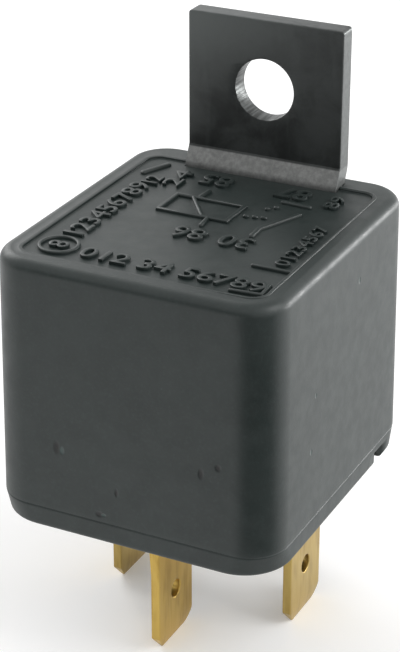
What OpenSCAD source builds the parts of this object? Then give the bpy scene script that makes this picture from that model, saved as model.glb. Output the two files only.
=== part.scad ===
// Plug-in power relay with four blade terminals, a moulded cover and a steel
// mounting bracket. The normally open contact mechanism is modelled inside.
// Frame: X to the right along the front face, Y towards the bracket, Z up.
// Z = 0 is the plane of the blade tips, and the rim is centred on X and Y.

/* [Housing] */
// Width of the housing at its rim, along X
rim_w = 26; // [25.6:0.1:27]
// Depth of the housing at its rim, along Y
rim_d = 29.2; // [29:0.1:30]
// Height of the housing from its rim to its top
body_h = 24; // [24:0.1:25]
// Height of the base flange that shows under the cover
flange_h = 2; // [1.6:0.1:2.2]
// Draft of the side walls, in degrees
draft = 0.6; // [0.3:0.1:0.9]
// Radius of the upright corners
corner_r = 3.5; // [3:0.1:4]
// Radius of the rounded edge round the top
top_edge_r = 1.7; // [1.3:0.1:1.9]
// Wall thickness of the cover
wall = 1.2; // [1:0.1:1.3]
// Thickness of the cover's top
roof = 1.3; // [1.1:0.1:1.4]
// Depth of the sunk panel in the top
panel_depth = 0.2; // [0.1:0.05:0.3]
// Distance from the front and side edges of the top to the sunk panel
panel_margin = 2; // [1.8:0.1:2.6]
// Distance from the rear edge of the top to the sunk panel
panel_rear_margin = 3.1; // [2.6:0.1:3.4]

/* [Bracket] */
// Width of the bracket
bracket_w = 14.5; // [13:0.1:14.6]
// Thickness of the bracket strip
bracket_t = 1.8; // [1.5:0.1:1.8]
// Height of the bracket's end above the top of the cover
bracket_rise = 13.9; // [12:0.1:18]
// Offset of the upright plate behind the leg that enters the cover
joggle = 0.8; // [0.4:0.1:1]
// Height of the screw hole's centre above the top of the cover
hole_rise = 7.7; // [6.5:0.1:9]
// Diameter of the screw hole
hole_d = 5.5; // [5.2:0.1:6.4]

/* [Blades] */
// Length of each blade below the rim
blade_drop = 13.2; // [11:0.1:14]
// Width of a blade
blade_w = 6.3; // [6.2:0.05:6.4]
// Thickness of a blade
blade_t = 0.8; // [0.75:0.01:0.85]
// Distance between the two coil blades
coil_pitch = 17; // [16.8:0.1:17.2]
// Distance of the coil blades behind the centre of the rim
coil_y = 2.2; // [2:0.1:2.4]
// Distance from the coil blades forward to blade 30
reach_30 = 8.7; // [8.6:0.05:8.8]
// Distance from the coil blades back to blade 87
reach_87 = 8.5; // [8.4:0.05:8.6]
// Diameter of the locking hole in a blade
lock_hole_d = 1.9; // [1.7:0.1:2.1]
// Height of the locking hole above the blade's tip
lock_hole_rise = 4.9; // [4:0.1:5.5]

/* [Mechanism] */
// Angle that the armature opens to at rest, in degrees
open_angle = 3.2; // [2.8:0.1:3.4]
// Thickness of the yoke
yoke_t = 1.6; // [1.4:0.1:1.6]
// Width of the yoke
yoke_w = 13; // [12:0.1:13]
// Thickness of the armature
armature_t = 1.5; // [1.3:0.1:1.6]
// Radius of the winding
coil_r = 6.7; // [6:0.1:6.8]
// Radius of the core
core_r = 3.4; // [3:0.1:3.5]

/* [Hidden] */

shape_fn = 48;          // facets of the moulded shapes that hull() joins
round_fn = 48;          // facets of round holes and turned pieces
gap = 0.05;             // running and assembly clearance
eps = 0.01;             // overlap that joins two solids of one piece

// Levels
rim_z = blade_drop;
seam_z = rim_z + flange_h;
top_z = rim_z + body_h;
roof_z = top_z - roof;
plate_low_z = rim_z + 0.9;      // underside of the base plate, sunk into the rim
plate_z = rim_z + 3.2;          // upper face of the base plate
yoke_z = plate_z + 0.8;         // underside of the yoke's lower leg
coil_low_z = yoke_z + yoke_t;
pole_z = top_z - 5.6;           // pole face of the core and top of the yoke

// Snap joint between the cover and the base
snap_y = 6.5;                   // distance of each bead from the middle of its side
snap_z = seam_z + 1.1;          // level of the grooves in the cover

// Half width or depth of the outer wall at height z
function half(size, z) = size / 2 - (z - rim_z) * tan(draft);

// Bracket
bracket_y = 11.5;                           // middle of the leg inside the cover
plate_y = bracket_y + joggle;               // middle of the upright plate
leg_end_z = rim_z + 8.4;
ear_z = leg_end_z + 2.4;                    // top of the ears that lock the leg
ear_w = 0.9;                                // reach of an ear beside the leg
hole_z = top_z + hole_rise;

// Terminals
y_30 = coil_y - reach_30;
y_87 = coil_y + reach_87;
foot_w = 3.8;                               // width of the foot of terminal 30
foot_y = -7.5;                              // middle of that foot
riser_y = 8.7;                              // middle of the upright inside arm of 87
riser_w = 4.8;
post_w = 1.2;                               // width of a winding post
post_top_z = rim_z + 9;
nose = [1.1, 1.3];                          // chamfer at the front of a blade's tip
heel_r = 1.3;                               // radius at the rear of a blade's tip
coin_angle = 12;                            // slope of the thinned tip

// Mechanism
core_y = -2.2;
pole_r = 4.6;
pole_t = 1.2;
spool_t = 1;                                // thickness of a bobbin flange
spool_w = 14;
hinge_y = -11.5;                            // front face of the yoke, where the armature tips
hinge_z = pole_z + gap;
yoke_mid_y = hinge_y + yoke_t / 2;
contact_y = 7.2;
leaf_t = 0.25;
leaf_z = hinge_z + armature_t;              // underside of the contact spring, armature closed
contact_low_z = leaf_z - 1;                 // face of the moving contact, armature closed
fixed_z = contact_low_z - gap;              // face of the fixed contact
arm_87_z = fixed_z - 0.8;                   // upper face of the arm of terminal 87
rivet_r = 0.7;                              // shanks of the armature's rivets
frame_rivet_r = 0.9;                        // shank of the rivet under the yoke
frame_head_r = 1.5;
contact_rivet_xy = [[-2, 0.8], [2, 0.8]];
hinge_rivet_xy = [[-2.6, -6.6], [2.6, -6.6]];
frame_rivet_xy = [3.2, foot_y];
hinge_rivet_z = rim_z + 11.5;
stop_z = pole_z + 3.35;                     // underside of the back stop
stop_x = [-6.2, -3.6];                      // sides of the back stop's upright
stop_t = 0.6;

// Braid
braid_r = 0.55;
braid_sides = 8;
braid_path = [
    [3.4, 7.3, 35.02], [5, 7.3, 35.02], [6.6, 7.1, 34.6], [8, 6.4, 33.7], [9.1, 5, 32.3],
    [9.7, 3, 30.8], [9.9, 0.6, 29.5], [9.8, -2, 28.5], [9.4, -4.6, 27.7], [8.7, -7, 27.2],
    [7.8, -8.9, 27], [7.15, -10.2, 27], [7.1, -11.2, 27]
];

// ---- 2D and strip helpers -------------------------------------------------

// Rectangle w by d with corners of radius r, centred on the origin
module rounded_rect(w, d, r) {
    square([w - 2 * r, d], center = true);
    square([w, d - 2 * r], center = true);
    for (sx = [-1, 1], sy = [-1, 1])
        translate([sx * (w / 2 - r), sy * (d / 2 - r)]) circle(r, $fn = round_fn);
}

function unit(v) = v / norm(v);
function turned(v, a) = [v.x * cos(a) - v.y * sin(a), v.x * sin(a) + v.y * cos(a)];
function left_of(v) = [-v.y, v.x];
function turn(u, v) = atan2(u.x * v.y - u.y * v.x, u * v);

// Points and directions along the arc of radius r that rounds corner b of the path a, b, c
function bend(a, b, c, r, steps = 6) =
    let (u = unit(b - a), v = unit(c - b), angle = turn(u, v), side = sign(angle))
    let (start = b - u * r * tan(abs(angle) / 2), centre = start + left_of(u) * side * r)
    [for (i = [0:steps])
        [centre + turned(start - centre, angle * i / steps), turned(u, angle * i / steps)]];

// The whole centre line of a strip: its ends and the arcs at its inner corners
function centre_line(path, r) =
    let (last = len(path) - 1)
    concat(
        [[path[0], unit(path[1] - path[0])]],
        [for (i = [1:1:last - 1]) each bend(path[i - 1], path[i], path[i + 1], r)],
        [[path[last], unit(path[last] - path[last - 1])]]
    );

// Outline of a strip of thickness t that follows the path
function strip(path, t, r) =
    let (line = centre_line(path, r), last = len(line) - 1)
    concat(
        [for (p = line) p[0] + left_of(p[1]) * t / 2],
        [for (i = [last:-1:0]) line[i][0] - left_of(line[i][1]) * t / 2]
    );

// Carries a [y, z] outline along X, centred on x
module across(w, x = 0) {
    translate([x, 0, 0]) rotate([90, 0, 90]) linear_extrude(w, center = true) children();
}

// A bent strip of width w whose path is given as [y, z] points
module bent_strip(path, t, w, r, x = 0) {
    across(w, x) polygon(strip(path, t, r));
}

// Turns pieces of the armature from the closed place in which they are drawn to rest
module opened() {
    translate([0, hinge_y, hinge_z]) rotate([open_angle, 0, 0])
        translate([0, -hinge_y, -hinge_z]) children();
}

// Place of a [y, z] point of the closed armature when it is open
function opened_point(p) =
    [hinge_y, hinge_z] + turned(p - [hinge_y, hinge_z], open_angle);

// ---- Housing --------------------------------------------------------------

// Drafted block from low_z to high_z, inset from the outer walls, with a rounded top edge
module drafted_block(low_z, high_z, inset, edge_r) {
    r = corner_r - inset;
    hull() for (sx = [-1, 1], sy = [-1, 1]) {
        translate([sx * (half(rim_w, low_z) - corner_r), sy * (half(rim_d, low_z) - corner_r), low_z])
            cylinder(h = eps, r = r, $fn = shape_fn);
        translate([
            sx * (half(rim_w, high_z) - corner_r),
            sy * (half(rim_d, high_z) - corner_r),
            high_z - edge_r
        ])
            rotate_extrude($fn = shape_fn)
                translate([r - edge_r, 0]) circle(edge_r, $fn = shape_fn);
    }
}

// Opening in the roof that the bracket stands in
module bracket_slot() {
    rear_clearance = 0.15;
    slot_d = bracket_t + 2 * gap + rear_clearance;
    translate([-bracket_w / 2 - gap, bracket_y - bracket_t / 2 - gap, roof_z - 1])
        cube([bracket_w + 2 * gap, slot_d, roof + 2]);
}

// Guides on the rear wall that hold the bracket's leg from behind and at its sides
module leg_guides() {
    rib_t = 1;
    rib_x = 4.2;
    inner_y = half(rim_d, ear_z) - wall + 0.3;
    leg_front_y = bracket_y - bracket_t / 2;
    leg_back_y = bracket_y + bracket_t / 2 + gap;
    for (side = [-1, 1]) {
        translate([side * (bracket_w + rib_t + 2 * gap) / 2 - rib_t / 2, leg_front_y, ear_z + gap])
            cube([rib_t, inner_y - leg_front_y, roof_z - ear_z]);
        translate([side * rib_x - rib_t / 2, leg_back_y, ear_z])
            cube([rib_t, inner_y - leg_back_y, roof_z - ear_z + eps]);
    }
}

// Shallow grooves inside the side walls that the base's snap beads spring into
module snap_grooves() {
    groove = [0.8, 4.2, 0.9];
    for (side = [-1, 1], y = [-snap_y, snap_y])
        translate([side * (half(rim_w, seam_z) - wall), y, snap_z]) cube(groove, center = true);
}

// Sunk panel of the roof, set further in at the rear, where the bracket stands
module sunk_panel() {
    panel_w = 2 * (half(rim_w, top_z) - panel_margin);
    panel_d = 2 * half(rim_d, top_z) - panel_margin - panel_rear_margin;
    panel_r = 1.2;
    translate([0, (panel_margin - panel_rear_margin) / 2, top_z - panel_depth])
        linear_extrude(1) rounded_rect(panel_w, panel_d, panel_r);
}

module cover() {
    inner_edge_r = 0.5;
    color([0.24, 0.25, 0.25]) difference() {
        union() {
            difference() {
                drafted_block(seam_z, top_z, 0, top_edge_r);
                translate([0, 0, -eps]) drafted_block(seam_z, roof_z, wall, inner_edge_r);
            }
            leg_guides();
        }
        sunk_panel();
        bracket_slot();
        snap_grooves();
    }
}

// Flange of the base, with a rounded lower edge
module base_flange() {
    edge_r = 0.8;
    flange_r = corner_r - 0.5;
    flange_inset = flange_r + 0.02;         // keeps the flange flush with the cover at the seam
    hull() for (sx = [-1, 1], sy = [-1, 1])
        translate([sx * (rim_w / 2 - flange_inset), sy * (rim_d / 2 - flange_inset), 0]) {
            translate([0, 0, seam_z - eps]) cylinder(h = eps, r = flange_r, $fn = shape_fn);
            translate([0, 0, rim_z + edge_r]) rotate_extrude($fn = shape_fn)
                translate([flange_r - edge_r, 0]) circle(edge_r, $fn = shape_fn);
        }
}

// Slot through the base plate for a blade, and its raised collar below
module blade_slot(w) {
    cube([blade_t + 2 * gap, w + 2 * gap, 12], center = true);
}

module blade_collar(w) {
    collar_h = 0.7;
    translate([0, 0, -collar_h]) linear_extrude(collar_h + eps)
        rounded_rect(blade_t + 2.2, w + 1.8, 0.8);
}

// Puts its children at each blade, turned to lie as that blade does
module at_blades(z) {
    for (side = [-1, 1]) translate([side * coil_pitch / 2, coil_y, z]) children();
    translate([0, y_30, z]) children();
    translate([0, y_87, z]) rotate([0, 0, 90]) children();
}

// Wall that keeps terminal 87 apart from the bracket, and the posts under the bracket's leg
module rear_barrier() {
    barrier = [10.8, 0.9, 8];
    barrier_y = 9.4;
    post = [2.2, 1.6];
    post_x = 5.3;
    difference() {
        translate([-barrier.x / 2, barrier_y, plate_z - eps]) cube(barrier);
        translate([-riser_w / 2 - 0.3, barrier_y - 0.4, plate_z - 1]) cube([riser_w + 0.6, 2, 1.95]);
    }
    for (side = [-1, 1])
        translate([side * post_x - post.x / 2, bracket_y - post.y / 2, plate_z - eps])
            cube([post.x, post.y, leg_end_z - plate_z + eps]);
}

// Low wall that the cover slides over, with the four snap beads
module plug_wall() {
    plug_w = 2 * (half(rim_w, seam_z) - wall - gap);
    plug_d = 2 * (half(rim_d, seam_z) - wall - gap);
    plug_h = 1.2;
    plug_t = 1;
    bead_r = 0.35;
    bead_l = 3.4;
    difference() {
        linear_extrude(plug_h) rounded_rect(plug_w, plug_d, corner_r - wall);
        translate([0, 0, -eps]) linear_extrude(plug_h + 1)
            rounded_rect(plug_w - 2 * plug_t, plug_d - 2 * plug_t, corner_r - wall - plug_t);
    }
    for (side = [-1, 1], y = [-snap_y, snap_y])
        translate([side * (plug_w / 2 - 0.1), y, 0]) rotate([90, 0, 0])
            cylinder(h = bead_l, r = bead_r, center = true, $fn = 24);
}

module base() {
    skirt_t = 1.3;                          // wall of the flange round the sunk underside
    notch = [1.2, 1.8, 2];
    notch_y = 8.3;
    color([0.2, 0.21, 0.21]) difference() {
        union() {
            difference() {
                base_flange();
                translate([0, 0, rim_z - 1]) linear_extrude(plate_low_z - rim_z + 1)
                    rounded_rect(rim_w - 2 * skirt_t, rim_d - 2 * skirt_t, corner_r - skirt_t);
            }
            at_blades(plate_low_z) blade_collar(blade_w);
            translate([0, 0, seam_z - eps]) linear_extrude(plate_z - seam_z + eps)
                rounded_rect(
                    2 * (half(rim_w, seam_z) - wall - gap),
                    2 * (half(rim_d, seam_z) - wall - gap),
                    corner_r - wall
                );
            translate([0, 0, plate_z - 0.1]) plug_wall();
            rear_barrier();
        }
        at_blades(plate_z) blade_slot(blade_w);
        // Relief under the bend of terminal 87
        translate([0, y_87 - blade_t / 2 - 0.2, plate_z])
            cube([riser_w + 0.2, 0.7, 0.7], center = true);
        // Pocket for the head of the rivet under the yoke
        translate([frame_rivet_xy.x, frame_rivet_xy.y, plate_z - 0.6])
            cylinder(h = 2, r = frame_head_r + 0.1, $fn = round_fn);
        // Slot for the foot of the back stop
        translate([stop_x[0] - gap, riser_y - stop_t / 2 - gap, plate_z - 1.4 - gap])
            cube([stop_x[1] - stop_x[0] + 2 * gap, stop_t + 2 * gap, 3]);
        // Notches in the rim that a tool lifts the cover by
        for (side = [-1, 1])
            translate([side * rim_w / 2, notch_y, rim_z]) cube(notch, center = true);
    }
}

// ---- Bracket --------------------------------------------------------------

module bracket() {
    joggle_low_z = top_z - 0.2;
    joggle_high_z = top_z + 1.5;
    path = [
        [bracket_y, leg_end_z],
        [bracket_y, joggle_low_z],
        [plate_y, joggle_high_z],
        [plate_y, top_z + bracket_rise]
    ];
    color([0.22, 0.23, 0.23]) difference() {
        union() {
            bent_strip(path, bracket_t, bracket_w, bracket_t / 2 + 0.2);
            // Ears that catch under the guides of the cover
            translate([-bracket_w / 2 - ear_w, bracket_y - bracket_t / 2, leg_end_z])
                cube([bracket_w + 2 * ear_w, bracket_t, ear_z - leg_end_z]);
        }
        translate([0, plate_y, hole_z]) rotate([90, 0, 0])
            cylinder(h = 4 * bracket_t, d = hole_d, center = true, $fn = round_fn);
    }
}

// ---- Terminals ------------------------------------------------------------

// Outline of a blade from its tip up to the base plate: [across, z]
function blade_outline(top) =
    let (h = blade_w / 2)
    concat(
        [[-h, top], [-h, nose.y], [-h + nose.x, 0]],
        [for (a = [-90:15:0]) [h - heel_r + heel_r * cos(a), heel_r + heel_r * sin(a)]],
        [[h, top]]
    );

// Blade lying in the YZ plane, with its locking hole and coined tip
module blade() {
    difference() {
        across(blade_t) polygon(blade_outline(plate_z));
        translate([0, 0, lock_hole_rise]) rotate([0, 90, 0])
            cylinder(h = 4 * blade_t, d = lock_hole_d, center = true, $fn = round_fn);
        for (side = [-1, 1])
            translate([side * blade_t / 2, 0, 0]) rotate([0, side * coin_angle, 0])
                cube([0.5, 2 * blade_w, 2.4], center = true);
    }
}

module terminal_30() {
    color([0.78, 0.66, 0.4]) difference() {
        union() {
            translate([0, y_30, 0]) blade();
            // Foot under the yoke, and the neck that joins it to the blade
            translate([-blade_t / 2, foot_y - foot_w / 2, plate_z])
                cube([frame_rivet_xy.x + 2.2, foot_w, yoke_z - plate_z]);
            translate([-blade_t / 2, foot_y - foot_w / 2, plate_z - 0.5])
                cube([blade_t, foot_w, 1]);
            // Swelling at the root of the blade, below the collar
            translate([-blade_t / 2, y_30, 0]) rotate([90, 0, 0])
                linear_extrude(blade_w, center = true)
                    polygon([[eps, rim_z + 0.1], [-0.35, rim_z + 0.1], [-0.3, rim_z - 1.2],
                        [-0.12, rim_z - 3.6], [eps, rim_z - 5.5]]);
        }
        translate([frame_rivet_xy.x, frame_rivet_xy.y, plate_z - 1])
            cylinder(h = 4, r = frame_rivet_r + gap, $fn = round_fn);
    }
}

// Blade with a post that the coil's wire is wound on
module coil_terminal(side) {
    color([0.8, 0.7, 0.45]) translate([side * coil_pitch / 2, coil_y, 0]) {
        blade();
        translate([0, 0, plate_z + 0.5]) cube([blade_t, 4.4, 1 + eps], center = true);
        translate([0, 0, (plate_z + post_top_z) / 2])
            cube([blade_t, post_w, post_top_z - plate_z], center = true);
    }
}

module terminal_85() {
    coil_terminal(1);
}

module terminal_86() {
    coil_terminal(-1);
}

module terminal_87() {
    foot_mid_z = plate_z + blade_t / 2;
    arm_mid_z = arm_87_z - blade_t / 2;
    path = [
        [y_87, plate_z - 1.5],
        [y_87, foot_mid_z],
        [riser_y, foot_mid_z],
        [riser_y, arm_mid_z],
        [contact_y - 1.7, arm_mid_z]
    ];
    color([0.78, 0.66, 0.4]) difference() {
        union() {
            translate([0, y_87, 0]) rotate([0, 0, 90]) blade();
            bent_strip(path, blade_t, riser_w, blade_t / 2 + 0.3);
        }
        translate([0, contact_y, arm_87_z - 2])
            cylinder(h = 4, r = 0.8 + gap, $fn = round_fn);
    }
}

// ---- Magnet ---------------------------------------------------------------

module yoke() {
    path = [
        [core_y + 5.4, yoke_z + yoke_t / 2],
        [yoke_mid_y, yoke_z + yoke_t / 2],
        [yoke_mid_y, pole_z]
    ];
    color([0.62, 0.63, 0.62]) difference() {
        bent_strip(path, yoke_t, yoke_w, yoke_t / 2 + 0.5);
        translate([0, core_y, yoke_z - 1]) cylinder(h = 4, r = core_r - 1.1, $fn = round_fn);
        translate([frame_rivet_xy.x, frame_rivet_xy.y, yoke_z - 1])
            cylinder(h = 4, r = frame_rivet_r + gap, $fn = round_fn);
        translate([0, hinge_y + 1, hinge_rivet_z]) rotate([90, 0, 0])
            cylinder(h = 6, r = rivet_r + gap, center = true, $fn = round_fn);
    }
}

module core() {
    spigot_r = core_r - 1.1 - gap;
    color([0.68, 0.68, 0.68]) translate([0, core_y, 0]) rotate_extrude($fn = round_fn)
        polygon([
            [0, yoke_z - 0.6], [core_r - 0.6, yoke_z - 0.6], [core_r - 0.4, yoke_z - 0.2],
            [core_r - 0.4, yoke_z], [spigot_r, yoke_z], [spigot_r, coil_low_z],
            [core_r, coil_low_z], [core_r, pole_z - pole_t], [pole_r, pole_z - pole_t],
            [pole_r, pole_z - 0.2], [pole_r - 0.2, pole_z], [0, pole_z]
        ]);
}

module bobbin() {
    high_z = pole_z - pole_t;
    color([0.9, 0.88, 0.82]) difference() {
        translate([0, core_y, 0]) union() {
            for (z = [coil_low_z, high_z - spool_t])
                translate([0, 0, z]) linear_extrude(spool_t) rounded_rect(spool_w, spool_w, 2);
            translate([0, 0, coil_low_z])
                cylinder(h = high_z - coil_low_z, r = core_r + 0.8, $fn = round_fn);
            // Ears that lead the wire ends out to the posts
            for (side = [-1, 1])
                translate([side * (spool_w / 2 + 0.2), coil_y - core_y, coil_low_z + spool_t / 2])
                    cube([0.9, 2.8, spool_t], center = true);
        }
        translate([0, core_y, coil_low_z - 1])
            cylinder(h = high_z - coil_low_z + 2, r = core_r + gap, $fn = round_fn);
        // Notches for the wire in both ears
        for (side = [-1, 1])
            translate([side * (spool_w / 2 + 0.5), coil_y, coil_low_z + spool_t])
                cube([1.4, 0.5, 0.8], center = true);
    }
}

module coil() {
    low_z = coil_low_z + spool_t;
    high_z = pole_z - pole_t - spool_t;
    color([0.72, 0.36, 0.2]) translate([0, core_y, low_z + gap]) difference() {
        cylinder(h = high_z - low_z - 2 * gap, r = coil_r, $fn = round_fn);
        translate([0, 0, -1])
            cylinder(h = high_z - low_z + 2, r = core_r + 0.8 + gap, $fn = round_fn);
    }
}

// Wire end from the winding to a post, with the turns wound round the post
module coil_lead(side) {
    wire_r = 0.15;
    lead_z = coil_low_z + spool_t + 0.6;
    start_x = sqrt(pow(coil_r, 2) - pow(coil_y - core_y, 2));
    post_x = coil_pitch / 2;
    turn_r = norm([blade_t, post_w]) / 2 + 0.02;
    color([0.75, 0.4, 0.22]) {
        translate([side * (start_x + 0.03), coil_y, lead_z]) rotate([0, side * 90, 0])
            cylinder(h = post_x - turn_r - 0.1 - start_x, r = wire_r, $fn = 16);
        translate([side * post_x, coil_y, lead_z - 2 * wire_r]) difference() {
            cylinder(h = 6 * wire_r, r = turn_r + 2 * wire_r, $fn = round_fn);
            translate([0, 0, -1]) cylinder(h = 3, r = turn_r, $fn = round_fn);
        }
    }
}

module coil_lead_85() {
    coil_lead(1);
}

module coil_lead_86() {
    coil_lead(-1);
}

// ---- Armature and contacts ------------------------------------------------

module armature() {
    front_y = hinge_y + 0.1;
    rear_y = core_y + 5.8;
    color([0.66, 0.67, 0.67]) opened() difference() {
        translate([0, 0, hinge_z]) linear_extrude(armature_t) difference() {
            translate([0, (front_y + rear_y) / 2]) rounded_rect(12, rear_y - front_y, 0.8);
            // Waist beside the hinge
            for (side = [-1, 1])
                translate([side * 6.4, front_y + 4.4]) circle(1.4, $fn = round_fn);
        }
        for (p = concat(contact_rivet_xy, hinge_rivet_xy))
            translate([p.x, p.y, hinge_z - 1]) cylinder(h = 4, r = rivet_r + gap, $fn = round_fn);
    }
}

module contact_spring() {
    color([0.8, 0.62, 0.38]) opened() translate([0, 0, leaf_z]) linear_extrude(leaf_t)
        difference() {
            union() {
                polygon([[-3.4, -1], [3.4, -1], [3.4, 3.2], [2.2, 5.4], [2.2, 9], [-2.2, 9],
                    [-2.2, 5.4], [-3.4, 3.2]]);
                translate([2, 6.2]) square([3.4, 2.2]);
            }
            for (p = contact_rivet_xy) translate(p) circle(rivet_r + gap, $fn = round_fn);
            translate([0, contact_y]) circle(0.8 + gap, $fn = round_fn);
        }
}

// Leaf that hinges the armature and returns it, bent down round the front of the yoke
module hinge_spring() {
    spring_t = 0.2;
    face_y = hinge_y - spring_t / 2 - 0.01;
    bulge_y = -12.8;
    top_mid_z = leaf_z + spring_t / 2 + 0.01;
    path = [
        opened_point([-4.2, top_mid_z]),
        opened_point([bulge_y, top_mid_z]),
        [bulge_y, hinge_z - 0.9],
        [face_y, hinge_z - 2.6],
        [face_y, hinge_rivet_z - 2.2]
    ];
    color([0.75, 0.72, 0.66]) difference() {
        bent_strip(path, spring_t, 8, 0.7);
        translate([0, hinge_y, hinge_rivet_z]) rotate([90, 0, 0])
            cylinder(h = 4, r = rivet_r + gap, center = true, $fn = round_fn);
        opened() for (p = hinge_rivet_xy)
            translate([p.x, p.y, leaf_z - 1]) cylinder(h = 3, r = rivet_r + gap, $fn = round_fn);
    }
}

// Rivet with a low domed head: shank from z = 0 up to the head
module rivet(shank, r, head_r, head_h) {
    rotate_extrude($fn = round_fn)
        polygon([[0, 0], [r, 0], [r, shank], [head_r, shank], [head_r, shank + head_h / 2],
            [head_r * 0.7, shank + head_h], [0, shank + head_h]]);
}

module armature_rivets() {
    shank_low_z = hinge_z + 0.1;
    color([0.72, 0.72, 0.7]) opened() {
        for (p = contact_rivet_xy)
            translate([p.x, p.y, shank_low_z])
                rivet(leaf_z + leaf_t - shank_low_z, rivet_r, 1.2, 0.45);
        for (p = hinge_rivet_xy)
            translate([p.x, p.y, shank_low_z])
                rivet(leaf_z + leaf_t - shank_low_z, rivet_r, 1.2, 0.45);
    }
}

module hinge_rivet() {
    color([0.72, 0.72, 0.7])
        translate([0, hinge_y + yoke_t, hinge_rivet_z]) rotate([90, 0, 0])
            rivet(yoke_t + 0.23, rivet_r, 1.3, 0.5);
}

module frame_rivet() {
    color([0.8, 0.7, 0.45]) translate([frame_rivet_xy.x, frame_rivet_xy.y, coil_low_z])
        rotate([180, 0, 0]) rivet(coil_low_z - plate_z, frame_rivet_r, frame_head_r, 0.5);
}

// Contact rivet: domed face of radius r at z = 0, shank above it, closed over at the top
module contact_rivet(r, face_t, grip) {
    rotate_extrude($fn = round_fn)
        polygon([[0, 0], [r * 0.6, 0.04], [r * 0.9, 0.15], [r, 0.4], [r, face_t],
            [0.8, face_t], [0.8, face_t + grip], [1.1, face_t + grip],
            [0.9, face_t + grip + 0.3], [0, face_t + grip + 0.3]]);
}

module moving_contact() {
    color([0.85, 0.84, 0.8]) opened() translate([0, contact_y, contact_low_z])
        contact_rivet(1.6, leaf_z - contact_low_z, leaf_t);
}

module fixed_contact() {
    color([0.85, 0.84, 0.8]) translate([0, contact_y, fixed_z]) rotate([180, 0, 0])
        contact_rivet(1.7, fixed_z - arm_87_z, blade_t);
}

// Upright from the base with an arm over the contact, where the open armature rests
module back_stop() {
    arm_t = 0.6;
    color([0.7, 0.7, 0.68]) translate([0, riser_y - stop_t / 2, 0]) {
        translate([stop_x[0], 0, plate_z - 1.4])
            cube([stop_x[1] - stop_x[0], stop_t, stop_z + arm_t - plate_z + 1.4]);
        translate([stop_x[0], 0, stop_z]) cube([1.4 - stop_x[0], stop_t, arm_t]);
        translate([-1.4, contact_y - riser_y - 1.1, stop_z])
            cube([2.8, riser_y - contact_y + 1.1 + eps, arm_t]);
    }
}

// ---- Braid ----------------------------------------------------------------

function path_direction(p, i) =
    unit(p[min(i + 1, len(p) - 1)] - p[max(i - 1, 0)]);

// Ring of points round point i of path p, square to the path
function path_ring(p, i, r, n) =
    let (d = path_direction(p, i), u = unit(cross(d, [0.2, 0.1, 1])), v = cross(d, u))
    [for (k = [0:n - 1]) p[i] + r * (u * cos(360 * k / n) + v * sin(360 * k / n))];

// Closed tube of n sides swept along path p
module swept_tube(p, r, n) {
    rings = len(p);
    points = [for (i = [0:rings - 1]) each path_ring(p, i, r, n)];
    sides = [for (i = [0:rings - 2], k = [0:n - 1])
        let (a = i * n + k, b = i * n + (k + 1) % n)
        each [[a, a + n, b + n], [a, b + n, b]]];
    first = [for (k = [0:n - 1]) k];
    last = [for (k = [n - 1:-1:0]) (rings - 1) * n + k];
    polyhedron(points, concat(sides, [first, last]), convexity = 4);
}

// Flexible copper braid from the contact spring round to the side of the yoke
module braid() {
    color([0.8, 0.48, 0.3]) swept_tube(braid_path, braid_r, braid_sides);
}

cover();
base();
bracket();
terminal_30();
terminal_85();
terminal_86();
terminal_87();
yoke();
core();
bobbin();
coil();
coil_lead_85();
coil_lead_86();
armature();
hinge_spring();
contact_spring();
armature_rivets();
hinge_rivet();
frame_rivet();
moving_contact();
fixed_contact();
back_stop();
braid();
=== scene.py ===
"""Looks of a plug-in power relay: moulded cover and base, steel bracket, brass blades, works inside."""

import logging
import math
from dataclasses import dataclass, field
from enum import Enum
from typing import Callable, Optional, Sequence, Union

import bmesh
import bpy
import numpy as np
from mathutils import Matrix, Vector


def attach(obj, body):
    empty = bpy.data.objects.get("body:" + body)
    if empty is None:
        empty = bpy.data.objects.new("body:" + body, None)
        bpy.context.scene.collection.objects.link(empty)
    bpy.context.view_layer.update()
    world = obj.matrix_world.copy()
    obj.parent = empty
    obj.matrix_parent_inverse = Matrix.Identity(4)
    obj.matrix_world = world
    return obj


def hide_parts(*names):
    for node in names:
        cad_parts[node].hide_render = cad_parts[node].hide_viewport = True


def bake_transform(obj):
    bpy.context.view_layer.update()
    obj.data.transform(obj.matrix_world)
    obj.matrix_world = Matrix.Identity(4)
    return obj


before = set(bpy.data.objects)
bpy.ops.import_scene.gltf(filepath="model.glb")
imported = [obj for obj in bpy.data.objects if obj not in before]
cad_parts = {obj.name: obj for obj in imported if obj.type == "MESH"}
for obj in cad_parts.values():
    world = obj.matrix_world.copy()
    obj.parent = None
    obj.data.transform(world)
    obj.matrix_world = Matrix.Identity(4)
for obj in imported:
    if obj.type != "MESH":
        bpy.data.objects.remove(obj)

LOG = logging.getLogger("relay")
MM = 0.001
Colour = tuple[float, float, float]
Socket = bpy.types.NodeSocket
Value = Union[Socket, float, Colour]


class Body(Enum):
    """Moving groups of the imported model."""

    HOUSING = "housing"
    ARMATURE = "armature"


# ---- Meshes ----------------------------------------------------------------


def grid_faces(rows: int, columns: int, wrap: bool) -> np.ndarray:
    """Quads of a grid of points that are stored row after row.

    Args:
        rows: number of rows of points.
        columns: number of points in a row.
        wrap: whether the last point of each row joins the first.

    Returns:
        One row of four indices for each quad, facing out where rows run up and points run anticlockwise.
    """
    last = columns if wrap else columns - 1
    row, column = np.meshgrid(np.arange(rows - 1), np.arange(last), indexing="ij")
    here = row * columns + column
    side = row * columns + (column + 1) % columns
    return np.stack([here, side, side + columns, here + columns], axis=-1).reshape(-1, 4)


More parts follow.
